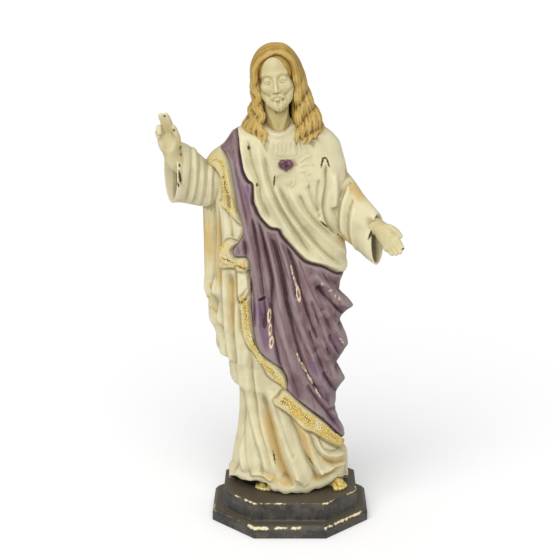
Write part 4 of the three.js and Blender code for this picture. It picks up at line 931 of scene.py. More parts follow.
def zero_surface(values, low, step):
    """Surface where values on a grid change sign, with one vertex in each mixed cell."""
    cells = tuple(count - 1 for count in values.shape)
    total = np.zeros(cells + (3,), np.float32)
    hits = np.zeros(cells, np.float32)
    inside = values < 0
    crossings = []
    for axis in range(3):
        near = values[tuple(slice(0, -1) if i == axis else slice(None) for i in range(3))]
        far = values[tuple(slice(1, None) if i == axis else slice(None) for i in range(3))]
        crossing = (near < 0) != (far < 0)
        crossings.append(crossing)
        place = np.where(crossing, near / np.where(crossing, near - far, 1), 0)
        others = [i for i in range(3) if i != axis]
        for du in (0, 1):
            for dv in (0, 1):
                part = [slice(None)] * 3
                part[others[0]] = slice(du, du + cells[others[0]])
                part[others[1]] = slice(dv, dv + cells[others[1]])
                crossed = crossing[tuple(part)]
                total[..., axis] += place[tuple(part)]
                total[..., others[0]] += crossed * du
                total[..., others[1]] += crossed * dv
                hits += crossed
    used = hits > 0
    number = np.full(cells, -1)
    number[used] = np.arange(used.sum())
    points = low + step * (np.argwhere(used) + total[used] / hits[used][:, None])
    faces = []
    for axis, crossing in enumerate(crossings):
        u, v = [i for i in range(3) if i != axis]
        at = np.argwhere(crossing)
        at = at[(at[:, u] > 0) & (at[:, v] > 0) & (at[:, u] < cells[u]) & (at[:, v] < cells[v])]
        outward = inside[tuple(at.T)] ^ (axis == 1)
        corners = []
        for du, dv in ((1, 1), (0, 1), (0, 0), (1, 0)):
            cell = at.copy()
            cell[:, u] -= du
            cell[:, v] -= dv
            corners.append(number[tuple(cell.T)])
        quads = np.stack(corners, 1)
        quads[~outward] = quads[~outward][:, ::-1]
        faces += [quads[:, [0, 1, 2]], quads[:, [0, 2, 3]]]
    return points, np.concatenate(faces), np.argwhere(used)


def tree_of(places):
    """Search tree that finds the nearest of many places."""
    tree = KDTree(len(places))
    for i, place in enumerate(places):
        tree.insert(place, i)
    tree.balance()
    return tree


def make_robe(settings, material):
    """The robe's body, its carved points, and where each of them lay before it was carved."""
    turn = np.arange(ROBE_COLUMNS) * 2 * math.pi / ROBE_COLUMNS
    angle = turn - FRONT_CROWDING * np.sin(turn) - math.pi / 2
    hem_x, hem_z = np.array(HEM_LINE, float).T
    foot = robe_points(angle, np.full(ROBE_COLUMNS, FOOT_HEIGHT))[0][:, 0]
    sag = sum(height * np.sin(foot / length + start) for height, length, start in HEM_SAGS)
    hem = np.where(np.sin(angle) < 0, np.interp(foot, hem_x, hem_z) + sag, BACK_HEM + sag)
    hem = hem + SOLE - TABLE_SOLE
    top = RIGHT_OUTLINE[-1][0]
    share = np.linspace(0, 1, ROBE_ROWS)[:, None]
    sole = robe_points(angle, np.full(ROBE_COLUMNS, SOLE), HEM_UNDERCUT, settings.fold_depth)[0]
    inner = robe_points(angle, hem - HEM_ROLL, HEM_UNDERCUT, settings.fold_depth)[0]
    lip = robe_points(angle, hem, HEM_LIP, settings.fold_depth)[0]
    heights = (hem + HEM_EDGE) * (1 - share) + top * share
    carved, base = robe_points(angle[None, :], heights, 0, settings.fold_depth)
    points, faces = loft(np.concatenate([[sole, inner, lip], carved]))
    robe = make_object("robe", points, faces, [material])
    return thinned(robe, ROBE_SHARE * settings.facets), carved, base


def make_sleeve(name, stations, folds, materials):
    """Wide sleeve, open at its cuff."""
    run = smooth_run(stations, SLEEVE_STEPS)
    turn = np.arange(SLEEVE_SIDES) * 2 * math.pi / SLEEVE_SIDES
    along = np.concatenate([[0], np.cumsum(np.linalg.norm(np.diff(run[:, :3], axis=0), axis=1))])
    rings = []
    for distance, (x, y, z, heading, width, height) in zip(along, run):
        from_top = np.mod(math.pi / 2 - turn + math.pi, 2 * math.pi) - math.pi
        lift = fold_rise(folds, np.full(SLEEVE_SIDES, distance), from_top * height * SLEEVE_ROUND)
        rings.append(upright_ring((x, y, z, heading), turn, width + lift, height + lift))
    x, y, z, heading, width, height = run[-1]
    out = np.array([math.cos(heading), math.sin(heading), 0])
    rolled = upright_ring((x, y, z, heading), turn, width - CUFF_ROLL, height - CUFF_ROLL)
    rings.append(rolled + CUFF_ROLL * out)
    rings.append(upright_ring((x, y, z, heading), turn, width - CUFF_WALL, height - CUFF_WALL))
    for share in CUFF_RINGS:
        ring = upright_ring((x, y, z, heading), turn, (width - CUFF_WALL) * (1 - CUFF_NARROWING[0] * share),
                            (height - CUFF_WALL) * (1 - CUFF_NARROWING[1] * share))
        rings.append(ring - CUFF_DEPTH * share * out)
    points, faces = loft(rings)
    # faces inside the cuff take the second paint, a darker cream that is painted shade
    inside = (faces >= (len(rings) - len(CUFF_RINGS) - 1) * SLEEVE_SIDES).all(1)
    return thinned(make_object(name, points, faces, materials, inside), FACETS["sleeve"])


def upright_ring(place, turn, width, height):
    """Upright ring of points about a place, square to its level heading."""
    x, y, z, heading = place
    ring = np.empty((len(turn), 3))
    ring[:, 0] = x - math.sin(heading) * width * np.cos(turn)
    ring[:, 1] = y + math.cos(heading) * width * np.cos(turn)
    ring[:, 2] = z + height * np.sin(turn)
    return ring


def wavy(stations, phase, wave, wavelength, axis):
    """Stations of a lock that swings more and more towards its end, and which ways are across and out."""
    run = smooth_run(stations, 5)
    length = np.concatenate([[0], np.cumsum(np.linalg.norm(np.diff(run[:, :3], axis=0), axis=1))])
    share = length / length[-1]
    ways = np.gradient(run[:, :3], axis=0)
    ways /= np.linalg.norm(ways, axis=1, keepdims=True)
    out = run[:, :3] - np.array(axis)
    out[:, 2] *= 0.25
    out -= np.sum(out * ways, 1, keepdims=True) * ways
    out /= np.linalg.norm(out, axis=1, keepdims=True)
    side = np.cross(ways, out)
    swing = wave * smoothstep(0.22, 0.55, share) * np.sin(2 * math.pi * (length / wavelength + phase))
    run[:, :3] += (side + 0.45 * out) * swing[:, None]
    return run, side, out


def make_hair(settings, material):
    """Hair parted in the middle, in grooved wavy locks that lie close together down to the shoulders."""
    clay = Clay((-84, -46, 460), (50, 48, 610), 0.7)
    clay.blob((-17, -3, 571), (25.0, 27.5, 27.5), HEAD_TURNS)
    clay.stroke((-40, 10, 560, 6), (-36, 14, 530, 8), (-30, 18, 505, 9), blend=3)
    clay.stroke((8, 10, 560, 6), (6, 14, 530, 8), (2, 18, 505, 9), blend=3)
    clay.stroke((-38, -4, 552, 5), (-37, -6, 530, 6.5), (-36, -10, 506, 8), (-38, -14, 492, 6), blend=3)
    clay.stroke((6, -4, 556, 5), (9, -6, 532, 7.5), (12, -10, 508, 9.5), (14, -14, 492, 7), blend=3)
    clay.blob((-17, -32, 552), (19.5, 22, 34), HEAD_TURNS, blend=1.5, cut=True)
    wave, wavelength = settings.wave_size / MM, settings.wave_length / MM
    for side, guides in enumerate((LEFT_HAIR, RIGHT_HAIR)):
        spread = smooth_run(np.array(guides, float).reshape(len(guides), -1), 24)
        for i in range(settings.hair_locks):
            stations = spread[round(i * (len(spread) - 1) / (settings.hair_locks - 1))].reshape(-1, 4)
            phase = 0.13 * i + 0.45 * side + 0.08 * math.sin(7.3 * i)
            swing = wave * (1 + 0.3 * math.sin(5.1 * i))
            run, across, out = wavy(stations, phase, swing, wavelength, HAIR_AXIS)
            clay.lock(run, across, out, LOCK_STRANDS, 1.7 * i, blend=1.1)
    return thinned(make_object("hair", *clay.surface(), [material]), FACETS["hair"])


def make_head(material):
    """Head with a plain balanced face, lowered eyes, moustache and short forked beard."""
    clay = Clay((-27, -40, -52), (27, 34, 38), 0.55)
    clay.blob((0, 4, 7), (21.5, 26, 25.5))
    clay.blob((0, -6.5, -12), (17.8, 18, 21), blend=6)
    clay.stroke((-14.5, -4, -20, 4.6), (-9.5, -14.5, -29.5, 5.2), (0, -19, -32.5, 5.4),
                (9.5, -14.5, -29.5, 5.2), (14.5, -4, -20, 4.6), blend=5)
    clay.stroke((-13, -17.6, 4.2, 2.4), (0, -20.4, 4.4, 2.6), (13, -17.6, 4.2, 2.4), blend=4)
    for side in (-1, 1):
        clay.blob((side * 10.8, -15.8, -11), (7.4, 6.6, 8.0), blend=4)
        clay.blob((side * 8.7, -26.0, -2.2), (6.2, 5.2, 4.0), blend=2.6, cut=True)
        clay.stroke((side * 3.0, -22.4, 3.4, 1.0), (side * 8.6, -22.4, 5.0, 1.1),
                    (side * 14.6, -17.8, 2.4, 0.8), blend=1.6)
        clay.blob((side * 8.7, -18.4, -2.8), (5.5, 4.9, 4.3), blend=0.6)
    clay.stroke((0, -21.0, 3.0, 1.7), (0, -24.8, -5, 1.9), (0, -28.8, -13.0, 2.7), blend=2.4)
    clay.blob((0, -28.2, -14.8), (2.8, 3.0, 2.1), blend=1.4)
    for side in (-1, 1):
        clay.stroke((side * 3.3, -26.2, -15.2, 1.8), (side * 4.1, -24.2, -14.4, 1.6), blend=1.4)
        clay.stroke((side * 1.6, -28.0, -17.2, 0.7), (side * 2.5, -26.0, -17.0, 0.6), blend=0.5, cut=True)
        # upper and lower lid, and the creases that set them off
        clay.stroke((side * 4.3, -21.9, -3.6, 0.7), (side * 8.5, -24.0, -2.0, 0.85),
                    (side * 13.2, -20.8, -3.8, 0.7), blend=0.7)
        clay.stroke((side * 4.6, -22.1, -4.0, 0.55), (side * 8.7, -23.4, -5.6, 0.65),
                    (side * 13.0, -20.8, -4.4, 0.55), blend=0.7)
        clay.stroke((side * 5.0, -23.5, -4.0, 0.3), (side * 8.7, -24.8, -4.3, 0.38),
                    (side * 12.6, -22.2, -4.4, 0.3), blend=0.4, cut=True)
        clay.stroke((side * 4.4, -23.3, 0.0, 0.4), (side * 8.7, -24.3, 1.6, 0.5),
                    (side * 13.4, -20.9, 0.0, 0.4), blend=0.8, cut=True)
    clay.blob((0, -22.4, -22.0), (8.0, 4.4, 5.2), blend=3)
    clay.stroke((-5.8, -24.2, -22.8, 0.9), (-1.9, -26.6, -21.8, 1.2), (0, -26.5, -22.2, 1.1),
                (1.9, -26.6, -21.8, 1.2), (5.8, -24.2, -22.8, 0.9), blend=0.9)
    clay.stroke((-4.8, -24.4, -24.6, 1.0), (0, -26.2, -25.2, 1.6), (4.8, -24.4, -24.6, 1.0), blend=0.9)
    clay.stroke((-5.8, -25.8, -23.4, 0.3), (0, -28.2, -23.4, 0.45), (5.8, -25.8, -23.4, 0.3),
                blend=0.6, cut=True)
    clay.blob((0, -21, -34), (8, 5, 6), blend=4)
    for side in (-1, 1):
        for i, stations in enumerate(BEARD_LOCKS):
            mirrored = np.array(stations) * (side, 1, 1, 1)
            run, across, out = wavy(mirrored, 0.2 * i, 0.5, 12, (0, 0, -20))
            clay.lock(run, across, out, LOCK_STRANDS, 0.9 * i, blend=1.0)
    points, faces = clay.surface()
    turn = np.array(Euler(HEAD_TURNS).to_matrix())
    return thinned(make_object("head", points @ turn.T + HEAD_PLACE, faces, [material]), FACETS["head"])


def make_neck(material):
    """Throat and nape, with the two cords of the throat."""
    clay = Clay((-46, -44, 478), (18, 30, 552), 0.8)
    clay.stroke((-13, -12, 490, 17), (-14, -10, 503, 15.5), (-16, -8, 520, 14.5), (-17, -4, 542, 14), blend=2)
    for side in (-1, 1):
        clay.stroke((-16 + side * 13, -10, 534, 2.2), (-14 + side * 9, -20, 516, 2.4),
                    (-13 + side * 3, -26, 500, 2.4), blend=3)
    return make_object("neck", *clay.surface(), [material])


def make_raised_hand(material):
    """Palm to the front, two fingers up, two bent over, thumb along the side."""
    clay = Clay((-166, -86, 438), (-104, -18, 534), 0.6)
    clay.stroke((-116, -28, 448, 9), (-127, -39, 458, 10.6), (-136, -48, 470, 10.8), (-140, -54, 483, 10.4),
                blend=1)
    clay.blob((-142.5, -59, 493), (11.6, 6.0, 14.5), (0.18, 0.1, 0), blend=4)
    clay.blob((-135.6, -60.4, 489), (5.0, 4.6, 10.0), (0.15, 0.3, 0), blend=2.5)
    clay.blob((-148.8, -61, 490), (4.6, 3.8, 10.5), (0.15, -0.1, 0), blend=2.5)
    fingers = [
        ((-137.8, -61.0, 504, 4.2), (-139.6, -65.4, 513, 3.9), (-141.4, -68.4, 519.6, 3.6),
         (-143.0, -70.2, 523.4, 3.1)),
        ((-143.8, -61.6, 505, 4.2), (-145.6, -66.2, 513.6, 3.8), (-147.4, -69.8, 520.0, 3.4),
         (-148.8, -71.6, 523.2, 2.9)),
        ((-148.8, -61.0, 501, 3.8), (-150.6, -66.0, 508.0, 3.5), (-151.4, -70.6, 508.4, 3.2),
         (-150.6, -72.0, 503.6, 2.8)),
        ((-151.2, -59.6, 497, 3.4), (-153.0, -64.0, 502.4, 3.1), (-153.4, -68.2, 502.2, 2.8),
         (-152.0, -69.4, 498.4, 2.4)),
        ((-132.4, -55.0, 484, 4.6), (-131.0, -60.0, 494, 4.1), (-132.4, -64.4, 502.0, 3.6),
         (-134.6, -66.4, 509.0, 2.9)),
    ]
    for finger in fingers:
        clay.stroke(*finger, blend=1.1)
    clay.stroke((-147, -66.6, 490, 0.5), (-141, -67.0, 494, 0.6), (-137, -66.0, 501, 0.5), blend=1, cut=True)
    clay.stroke((-150, -66.0, 498, 0.5), (-144, -67.8, 500.6, 0.6), (-138, -66.4, 501, 0.5), blend=1,
                cut=True)
    clay.stroke((-140.8, -64, 501, 0.5), (-143, -70.4, 513, 0.6), (-145.8, -74, 522, 0.6), blend=0.8,
                cut=True)
    return thinned(make_object("raised_hand", *clay.surface(), [material]), FACETS["hand"])


def make_lowered_hand(material):
    """Open palm, fingers together and pointing out and down, thumb on top."""
    clay = Clay((76, -112, 350), (142, -34, 408), 0.6)
    clay.stroke((88, -42, 392, 9), (99, -52, 390, 10), (107.5, -64, 388, 9.6), (111, -69, 385.4, 8.4),
                blend=1)
    knuckles = [(123.4, -87.0, 380.6), (120.6, -88.2, 376.4), (117.4, -87.4, 372.8), (114.0, -85.2, 370.0)]
    tips = [(130.0, -96.4, 372.9), (127.6, -98.4, 368.6), (123.4, -96.4, 366.2), (118.8, -93.2, 365.4)]
    for knuckle, start in zip(knuckles, (387, 384.5, 382, 380)):
        clay.stroke((109, -68, start, 6.4), (*knuckle, 4.6), blend=3)
    clay.stroke((110, -69, 389, 6.2), (116, -77, 387, 5.4), blend=3)
    fingers = [((112, -70, 391.0, 5.2), (118, -77, 391.5, 4.7), (124, -83, 388.8, 4.0),
                (128.4, -87, 384.8, 3.1))]
    for (x, y, z), (tip_x, tip_y, tip_z) in zip(knuckles, tips):
        middle = ((x + tip_x) / 2, (y + tip_y) / 2, (z + tip_z) / 2 + 0.8, 3.7)
        fingers.append(((x, y, z, 4.2), middle, (tip_x, tip_y, tip_z, 2.9)))
    for finger in fingers:
        clay.stroke(*finger, blend=1.0)
    return thinned(make_object("lowered_hand", *clay.surface(), [material]), FACETS["hand"])


def make_foot(name, x, y, heading, side, material):
    """Bare foot under the hem, its five toes fanned out in front; side is that of the big toe."""
    clay = Clay((-16, -24, 0), (16, 26, 20), 0.6)
    clay.blob((0, 6, 2), (10.5, 17, 11))
    clay.stroke((0, 2, 7, 6), (0, -10, 3.6, 5), blend=4)
    for offset, radius, reach in TOES:
        across = -side * offset
        clay.stroke((across * 0.9, reach + 9, radius + 1.6, radius),
                    (across, reach + 3, radius + 1.4, radius * 0.86),
                    (across, reach, radius, radius), blend=1.0)
    clay.values = np.maximum(clay.values, (0.6 - clay.axes[2])[None, None, :])
    points, faces = clay.surface()
    turn = np.array(Euler((0, 0, heading)).to_matrix())
    return make_object(name, points @ turn.T + (x, y, SOLE - 0.3), faces, [material])


def make_heart(material):
    """Small heart in relief on the breast, wound about with thorns."""
    clay = Clay((-13, -8, -12), (13, 8, 12), 0.5)
    clay.blob((0, 1, 0), (7.6, 3.0, 5.4))
    for side in (-1, 1):
        clay.stroke((side * 3.9, -0.6, 2.2, 4.2), (0.6, -0.4, -6.4, 1.2), blend=0.8)
    for i in range(HEART_THORNS):
        turn = 2 * math.pi * i / HEART_THORNS
        x, z = math.cos(turn), math.sin(turn)
        clay.stroke((6.6 * x, -1.4, 4.2 * z + 0.4, 1.1), (8.8 * x, -1.6, 5.8 * z + 0.6, 0.7), blend=0.7)
    for x, z in ((-4, 1.5), (-1, -0.5), (2, 1.8), (4.4, -0.6), (1, -3.6), (-2.6, -2.4)):
        clay.blob((x, -4.0, z), (1.3, 1.2, 1.3), blend=0.5)
    points, faces = clay.surface()
    turn = np.array(Euler((HEART_LEAN, 0, 0)).to_matrix())
    return make_object("heart", points @ turn.T + HEART_PLACE, faces, [material])


def relief_tree(material):
    """Node tree that sets curls and beads along lines on the cloth, standing square to it."""
    tree = bpy.data.node_groups.new("Border relief", "GeometryNodeTree")
    for name, way, kind in (("Lines", "INPUT", "Geometry"), ("Spacing", "INPUT", "Float"),
                            ("Curl size", "INPUT", "Float"), ("Seed", "INPUT", "Int"),
                            ("Relief", "OUTPUT", "Geometry")):
        tree.interface.new_socket(name, in_out=way, socket_type="NodeSocket" + kind)
    given = add_node(tree, "NodeGroupInput").outputs
    along = add_node(tree, "GeometryNodeMeshToCurve", {0: given["Lines"]}).outputs[0]
    places = add_node(tree, "GeometryNodeResampleCurve", {"Curve": along, "Length": given["Spacing"]},
                      mode="LENGTH")
    facing = add_node(tree, "GeometryNodeInputNamedAttribute", {"Name": "facing"}, data_type="FLOAT_VECTOR")
    tangent = add_node(tree, "GeometryNodeInputTangent")
    square = add_node(tree, "FunctionNodeAlignRotationToVector", {"Vector": facing.outputs[0]}, axis="Z")
    led = add_node(tree, "FunctionNodeAlignRotationToVector", {
        "Rotation": square.outputs[0], "Vector": tangent.outputs[0]}, axis="X", pivot_axis="Z")
    spin = add_node(tree, "FunctionNodeRandomValue", {"Min": 0.0, "Max": 6.28, "Seed": given["Seed"]},
                    data_type="FLOAT")
    round_up = add_node(tree, "ShaderNodeCombineXYZ", {"Z": spin.outputs[1]})
    turned = add_node(tree, "FunctionNodeRotateRotation", {0: led.outputs[0], 1: round_up.outputs[0]},
                      rotation_space="LOCAL")
    spiral = add_node(tree, "GeometryNodeCurveSpiral", {
        "Resolution": 9, "Rotations": 1.25, "Start Radius": 0.10, "End Radius": 0.42, "Height": 0.0})
    wire = add_node(tree, "GeometryNodeCurvePrimitiveCircle", {"Resolution": 5, "Radius": 0.19})
    curl = add_node(tree, "GeometryNodeCurveToMesh", {
        "Curve": spiral.outputs[0], "Profile Curve": wire.outputs[0], "Fill Caps": True})
    bead = add_node(tree, "GeometryNodeMeshIcoSphere", {"Radius": 0.34, "Subdivisions": 1})
    kinds = add_node(tree, "GeometryNodeGeometryToInstance", {0: bead.outputs[0]})
    tree.links.new(curl.outputs[0], kinds.inputs[0])
    which = add_node(tree, "FunctionNodeRandomValue", {4: 0, 5: 3, "Seed": given["Seed"]}, data_type="INT")
    size = add_node(tree, "FunctionNodeRandomValue", {2: 0.8, 3: 1.12, "Seed": given["Seed"]},
                    data_type="FLOAT")
    scale = add_node(tree, "ShaderNodeMath", {0: size.outputs[1], 1: given["Curl size"]},
                     operation="MULTIPLY")
    set_out = add_node(tree, "GeometryNodeInstanceOnPoints", {
        "Points": places.outputs[0], "Instance": kinds.outputs[0], "Pick Instance": True,
        "Instance Index": which.outputs[2], "Rotation": turned.outputs[0], "Scale": scale.outputs[0]})
    real = add_node(tree, "GeometryNodeRealizeInstances", {0: set_out.outputs[0]})
    painted = add_node(tree, "GeometryNodeSetMaterial", {0: real.outputs[0], "Material": material})
    add_node(tree, "NodeGroupOutput", {0: painted.outputs[0]})
    return tree


def make_relief(settings, carved, base, material):
    """Raised curls and beads on the mantle's borders."""
    across, up = np.roll(carved, -1, 1) - np.roll(carved, 1, 1), np.gradient(carved, axis=0)
    facing = np.cross(across, up)
    facing /= np.linalg.norm(facing, axis=-1, keepdims=True)
    front = base[..., 1].ravel() < 0
    places, flat, facing = [values.reshape(-1, 3)[front] for values in (carved, base, facing)]
    tree = tree_of([(x, 0, z) for x, _, z in flat])
    points, ways, edges = [], [], []
    for line in BORDER_LINES:
        run = smooth_run(line, 8)
        at = [tree.find((x, 0, z))[1] for x, z in run]
        edges += [(len(points) + i, len(points) + i + 1) for i in range(len(run) - 1)]
        points += [places[i] + RELIEF_LIFT * facing[i] for i in at]
        ways += [facing[i] for i in at]
    mesh = bpy.data.meshes.new("relief")
    mesh.from_pydata([tuple(point * MM) for point in points], edges, [])
    layer = mesh.attributes.new("facing", "FLOAT_VECTOR", "POINT")
    layer.data.foreach_set("vector", np.array(ways, np.float32).ravel())
    relief = bpy.data.objects.new("relief", mesh)
    bpy.context.scene.collection.objects.link(relief)
    setter = relief.modifiers.new("Border relief", "NODES")
    setter.node_group = relief_tree(material)
    chosen = {"Spacing": settings.relief_spacing, "Curl size": settings.relief_size,
              "Seed": RELIEF_SEED}
    for socket in setter.node_group.interface.items_tree:
        if socket.name in chosen:
            setter[socket.identifier] = chosen[socket.name]
    return settle(relief)


def add_node(tree, kind, inputs=None, **settings):
    """New node of a kind, its settings made and its inputs linked or given a value."""
    node = tree.nodes.new(kind)
    for name, value in settings.items():
        setattr(node, name, value)
    for key, value in (inputs or {}).items():
        if isinstance(value, bpy.types.NodeSocket):
            tree.links.new(value, node.inputs[key])
        else:
            node.inputs[key].default_value = value
    return node


def coated(tree, colour, *coats):
    """Colour of paint after more coats, each with its colour, the value it follows, from, to and strength."""
    for above, value, low, high, strength in coats:
        cover = add_node(tree, "ShaderNodeMapRange", {
            "Value": value, "From Min": low, "From Max": high, "To Max": strength},
            interpolation_type="SMOOTHSTEP")
        under = srgb(colour) if isinstance(colour, str) else colour
        over = srgb(above) if isinstance(above, str) else above
        mixed = add_node(tree, "ShaderNodeMix", {
            MIX_FACTOR: cover.outputs["Result"], MIX_A: under, MIX_B: over}, data_type="RGBA")
        colour = mixed.outputs[MIX_RESULT]
    return colour


def chip_distance(tree, place, chips):
    """How far a place lies from the nearest long chip's middle, 1 at its ragged edge."""
    noise = add_node(tree, "ShaderNodeTexNoise", {"Vector": place, "Scale": RAGGED_SCALE, "Detail": 2.0})
    centred = add_node(tree, "ShaderNodeVectorMath", {0: noise.outputs["Color"], 1: (0.5, 0.5, 0.5)},
                       operation="SUBTRACT").outputs[0]
    small = add_node(tree, "ShaderNodeVectorMath", {0: centred, "Scale": RAGGED_REACH * MM},
                     operation="SCALE").outputs[0]
    ragged = add_node(tree, "ShaderNodeVectorMath", {0: place, 1: small}, operation="ADD").outputs[0]
    nearest = 99.0
    for x, y, z, half_width, half_length, lean in chips:
        placed = add_node(tree, "ShaderNodeMapping", {
            "Vector": ragged, "Location": (x * MM, y * MM, z * MM), "Rotation": (0, -lean, 0),
            "Scale": (half_width * MM, CHIP_DEPTH * MM, half_length * MM)}, vector_type="TEXTURE")
        far = add_node(tree, "ShaderNodeVectorMath", {0: placed.outputs[0]}, operation="LENGTH")
        nearest = add_node(tree, "ShaderNodeMath", {0: nearest, 1: far.outputs["Value"]},
                           operation="MINIMUM").outputs[0]
    return nearest


def dark_coats(dark):
    """Coats of a dark chip: its brown rim, and the ground that it bares."""
    return ("#95845a", dark, 1.6, 1.35, 0.9), ("#3a2f1c", dark, 1.15, 0.95, 1)


class Finish:
    """Painted plaster in the making: its shader, its coordinates and the patterns that all of it shares."""

    def __init__(self, name, roughness):
        self.material = bpy.data.materials.new(name)
        self.material.use_nodes = True
        self.tree = self.material.node_tree
        self.shader = self.tree.nodes["Principled BSDF"]
        self.shader.inputs["Roughness"].default_value = roughness
        self.shader.inputs["IOR"].default_value = PAINT_IOR
        self.shader.inputs["Specular IOR Level"].default_value = PAINT_GLOSS
        self.place = add_node(self.tree, "ShaderNodeTexCoord").outputs["Object"]
        self.blotch, self.speck = [
            add_node(self.tree, "ShaderNodeTexNoise", {"Vector": self.place, "Scale": scale, "Detail": detail}
                     ).outputs["Fac"] for scale, detail in ((BLOTCH_SCALE, 3.0), (SPECK_SCALE, 2.0))]
        self.cavity = add_node(self.tree, "ShaderNodeAttribute", attribute_name="cavity").outputs["Fac"]

    def done(self, colour, height, strength=0.25, distance=0.25):
        """Material with its colour, and with the fine unevenness of brushed paint on cast plaster."""
        bump = add_node(self.tree, "ShaderNodeBump", {
            "Height": height, "Strength": strength, "Distance": distance * MM})
        self.tree.links.new(bump.outputs[0], self.shader.inputs["Normal"])
        self.tree.links.new(colour, self.shader.inputs["Base Color"])
        return self.material


def cream_coat(paint, tones):
    """Cream paint, glazed with ochre that has gathered in the hollows and also stands for painted shade
    there; darker in the hollows with glazing and painted shade, and paler on the crests, rubbed and with a
    painted highlight.
    """
    light, dull, tint = tones
    ochre_glaze_and_shade = add_node(paint.tree, "ShaderNodeAttribute", attribute_name="ochre").outputs["Fac"]
    # ochre glazing and painted shade in the grooves, glazing and painted shade in the hollows, rubbing and a
    # painted highlight on the crests
    return coated(paint.tree, light, (dull, paint.blotch, 0.38, 0.64, 1), ("#bd9b52", ochre_glaze_and_shade, 0, 0.9, 0.85),
                  (tint, paint.cavity, 0.1, 1.4, 0.75), ("#d6cfaf", paint.cavity, -0.4, -1.6, 0.5),
                  ("#9c936c", paint.speck, 0.60, 0.74, 0.3))


def painted_robe(settings):
    """Cast plaster painted cream and dull mauve, then rubbed: matt, brown with glazing and painted shade in
    the hollows of its folds, and paler with a painted highlight on its crests.
    """
    paint = Finish("Painted plaster robe", 0.62)
    tree, place, cavity, speck = paint.tree, paint.place, paint.cavity, paint.speck
    cream = cream_coat(paint, (settings.cream_colour, *CREAM_DULL_AND_GLAZE_SHADE))
    depths = {name: add_node(tree, "ShaderNodeAttribute", attribute_name=name).outputs["Fac"]
              for name in ("mauve", "border", "violet", "under")}
    jitter = add_node(tree, "ShaderNodeMath", {0: speck, 1: 1.2, 2: -0.6},
                      operation="MULTIPLY_ADD").outputs[0]
    mauve_edge, border_edge = [
        add_node(tree, "ShaderNodeMath", {0: depths[name], 1: jitter}, operation="ADD").outputs[0]
        for name in ("mauve", "border")]
    # distance to the mantle's painted edge, along which a dark line is painted as its shade
    to_mauve_edge = add_node(tree, "ShaderNodeMath", {0: mauve_edge}, operation="ABSOLUTE").outputs[0]
    long_place = add_node(tree, "ShaderNodeMapping", {
        "Vector": place, "Rotation": (0, -0.2, 0), "Scale": (1, 1, STREAK_STRETCH)},
        vector_type="TEXTURE").outputs[0]
    streak = add_node(tree, "ShaderNodeTexNoise", {
        "Vector": long_place, "Scale": STREAK_SCALE, "Detail": 4.0}).outputs[0]
    mottle = add_node(tree, "ShaderNodeTexNoise", {
        "Vector": place, "Scale": MOTTLE_SCALE, "Detail": 2.0}).outputs[0]
    # mauve: painted shade nearly black in its hollows; grey on its crests, rubbed and with a painted
    # highlight
    mauve = coated(tree, settings.mantle_colour, ("#806d6e", streak, 0.46, 0.62, 0.9),
                   ("#64494f", paint.blotch, 0.46, 0.6, 0.6), ("#6a4f6e", depths["violet"], 0, 1.0, 0.8),
                   ("#3a2427", cavity, 0.0, 0.9, 0.9), ("#8b7c7c", cavity, -0.2, -1.3, 0.85),
                   ("#978a82", speck, 0.66, 0.74, 0.3))
    # border ground: darker in its hollows with glazing and painted shade
    ground = coated(tree, "#c8bb8c", ("#bd9f50", mottle, 0.50, 0.60, 0.5),
                    ("#927b40", mottle, 0.44, 0.36, 0.5), ("#5d4a22", cavity, 0.05, 0.6, 0.7))
    pale, dark, black = [chip_distance(tree, place, chips) for chips in (PALE_CHIPS, DARK_CHIPS, BLACK_CHIPS)]
    # the dark line along the mantle's edge is painted shade
    coats = coated(tree, cream, (mauve, mauve_edge, -0.2, 0.3, 1), ("#35262a", to_mauve_edge, 0.7, 0.2, 0.4),
                   (cream, border_edge, -0.2, 0.3, 1), (ground, border_edge, 1.5, 2.3, 1),
                   ("#d4c4a2", pale, 1.25, 1.05, 1), ("#845a4f", pale, 0.7, 0.5, 1), *dark_coats(dark),
                   # near-black under the hem is painted shade
                   ("#15100f", black, 1.1, 0.9, 1), ("#1d1a18", depths["under"], 0, 1, 1))
    return paint.done(coats, speck)


def painted_cream(name, tones):
    """Cast plaster painted one cream tone, with the same glazing, painted shade, painted highlight and chips
    as the robe.
    """
    paint = Finish(name, 0.6)
    dark = chip_distance(paint.tree, paint.place, DARK_CHIPS)
    return paint.done(coated(paint.tree, cream_coat(paint, tones), *dark_coats(dark)), paint.speck)


def painted_hair(settings):
    """Golden brown paint, paler on the crests where it is brushed thin and with a painted highlight, and dark
    in the grooves with painted shade.
    """
    paint = Finish("Painted plaster hair", 0.55)
    height = add_node(paint.tree, "ShaderNodeSeparateXYZ", {0: paint.place}).outputs["Z"]
    wandering = add_node(paint.tree, "ShaderNodeMath", {0: paint.blotch, 1: 0.03, 2: height},
                         operation="MULTIPLY_ADD").outputs[0]
    # painted shade dark in the grooves, and a painted highlight with the thin brushing pale on the crests
    brown = coated(paint.tree, settings.hair_colour, ("#a0803a", paint.blotch, 0.4, 0.6, 1),
                   ("#a98d4a", wandering, 0.592, 0.560, 1), ("#bfae78", wandering, 0.515, 0.488, 1),
                   ("#66491a", paint.cavity, 0.0, 0.7, 0.9), ("#c0a55e", paint.cavity, -0.2, -1.0, 0.7))
    return paint.done(brown, paint.speck)


def gilt(settings):
    """Gold paint on raised ornament and toes: yellow, faintly metallic, brown with glazing and painted shade
    where it is sunk.
    """
    paint = Finish("Gold paint", 0.45)
    paint.shader.inputs["Metallic"].default_value = 0.15
    # brown in the sunk places is glazing and painted shade
    gold = coated(paint.tree, settings.gold_colour, ("#d5c27c", paint.speck, 0.4, 0.6, 1),
                  ("#d2c79b", paint.blotch, 0.52, 0.6, 0.9), ("#7d6228", paint.cavity, 0.0, 0.5, 1))
    return paint.done(gold, paint.speck)


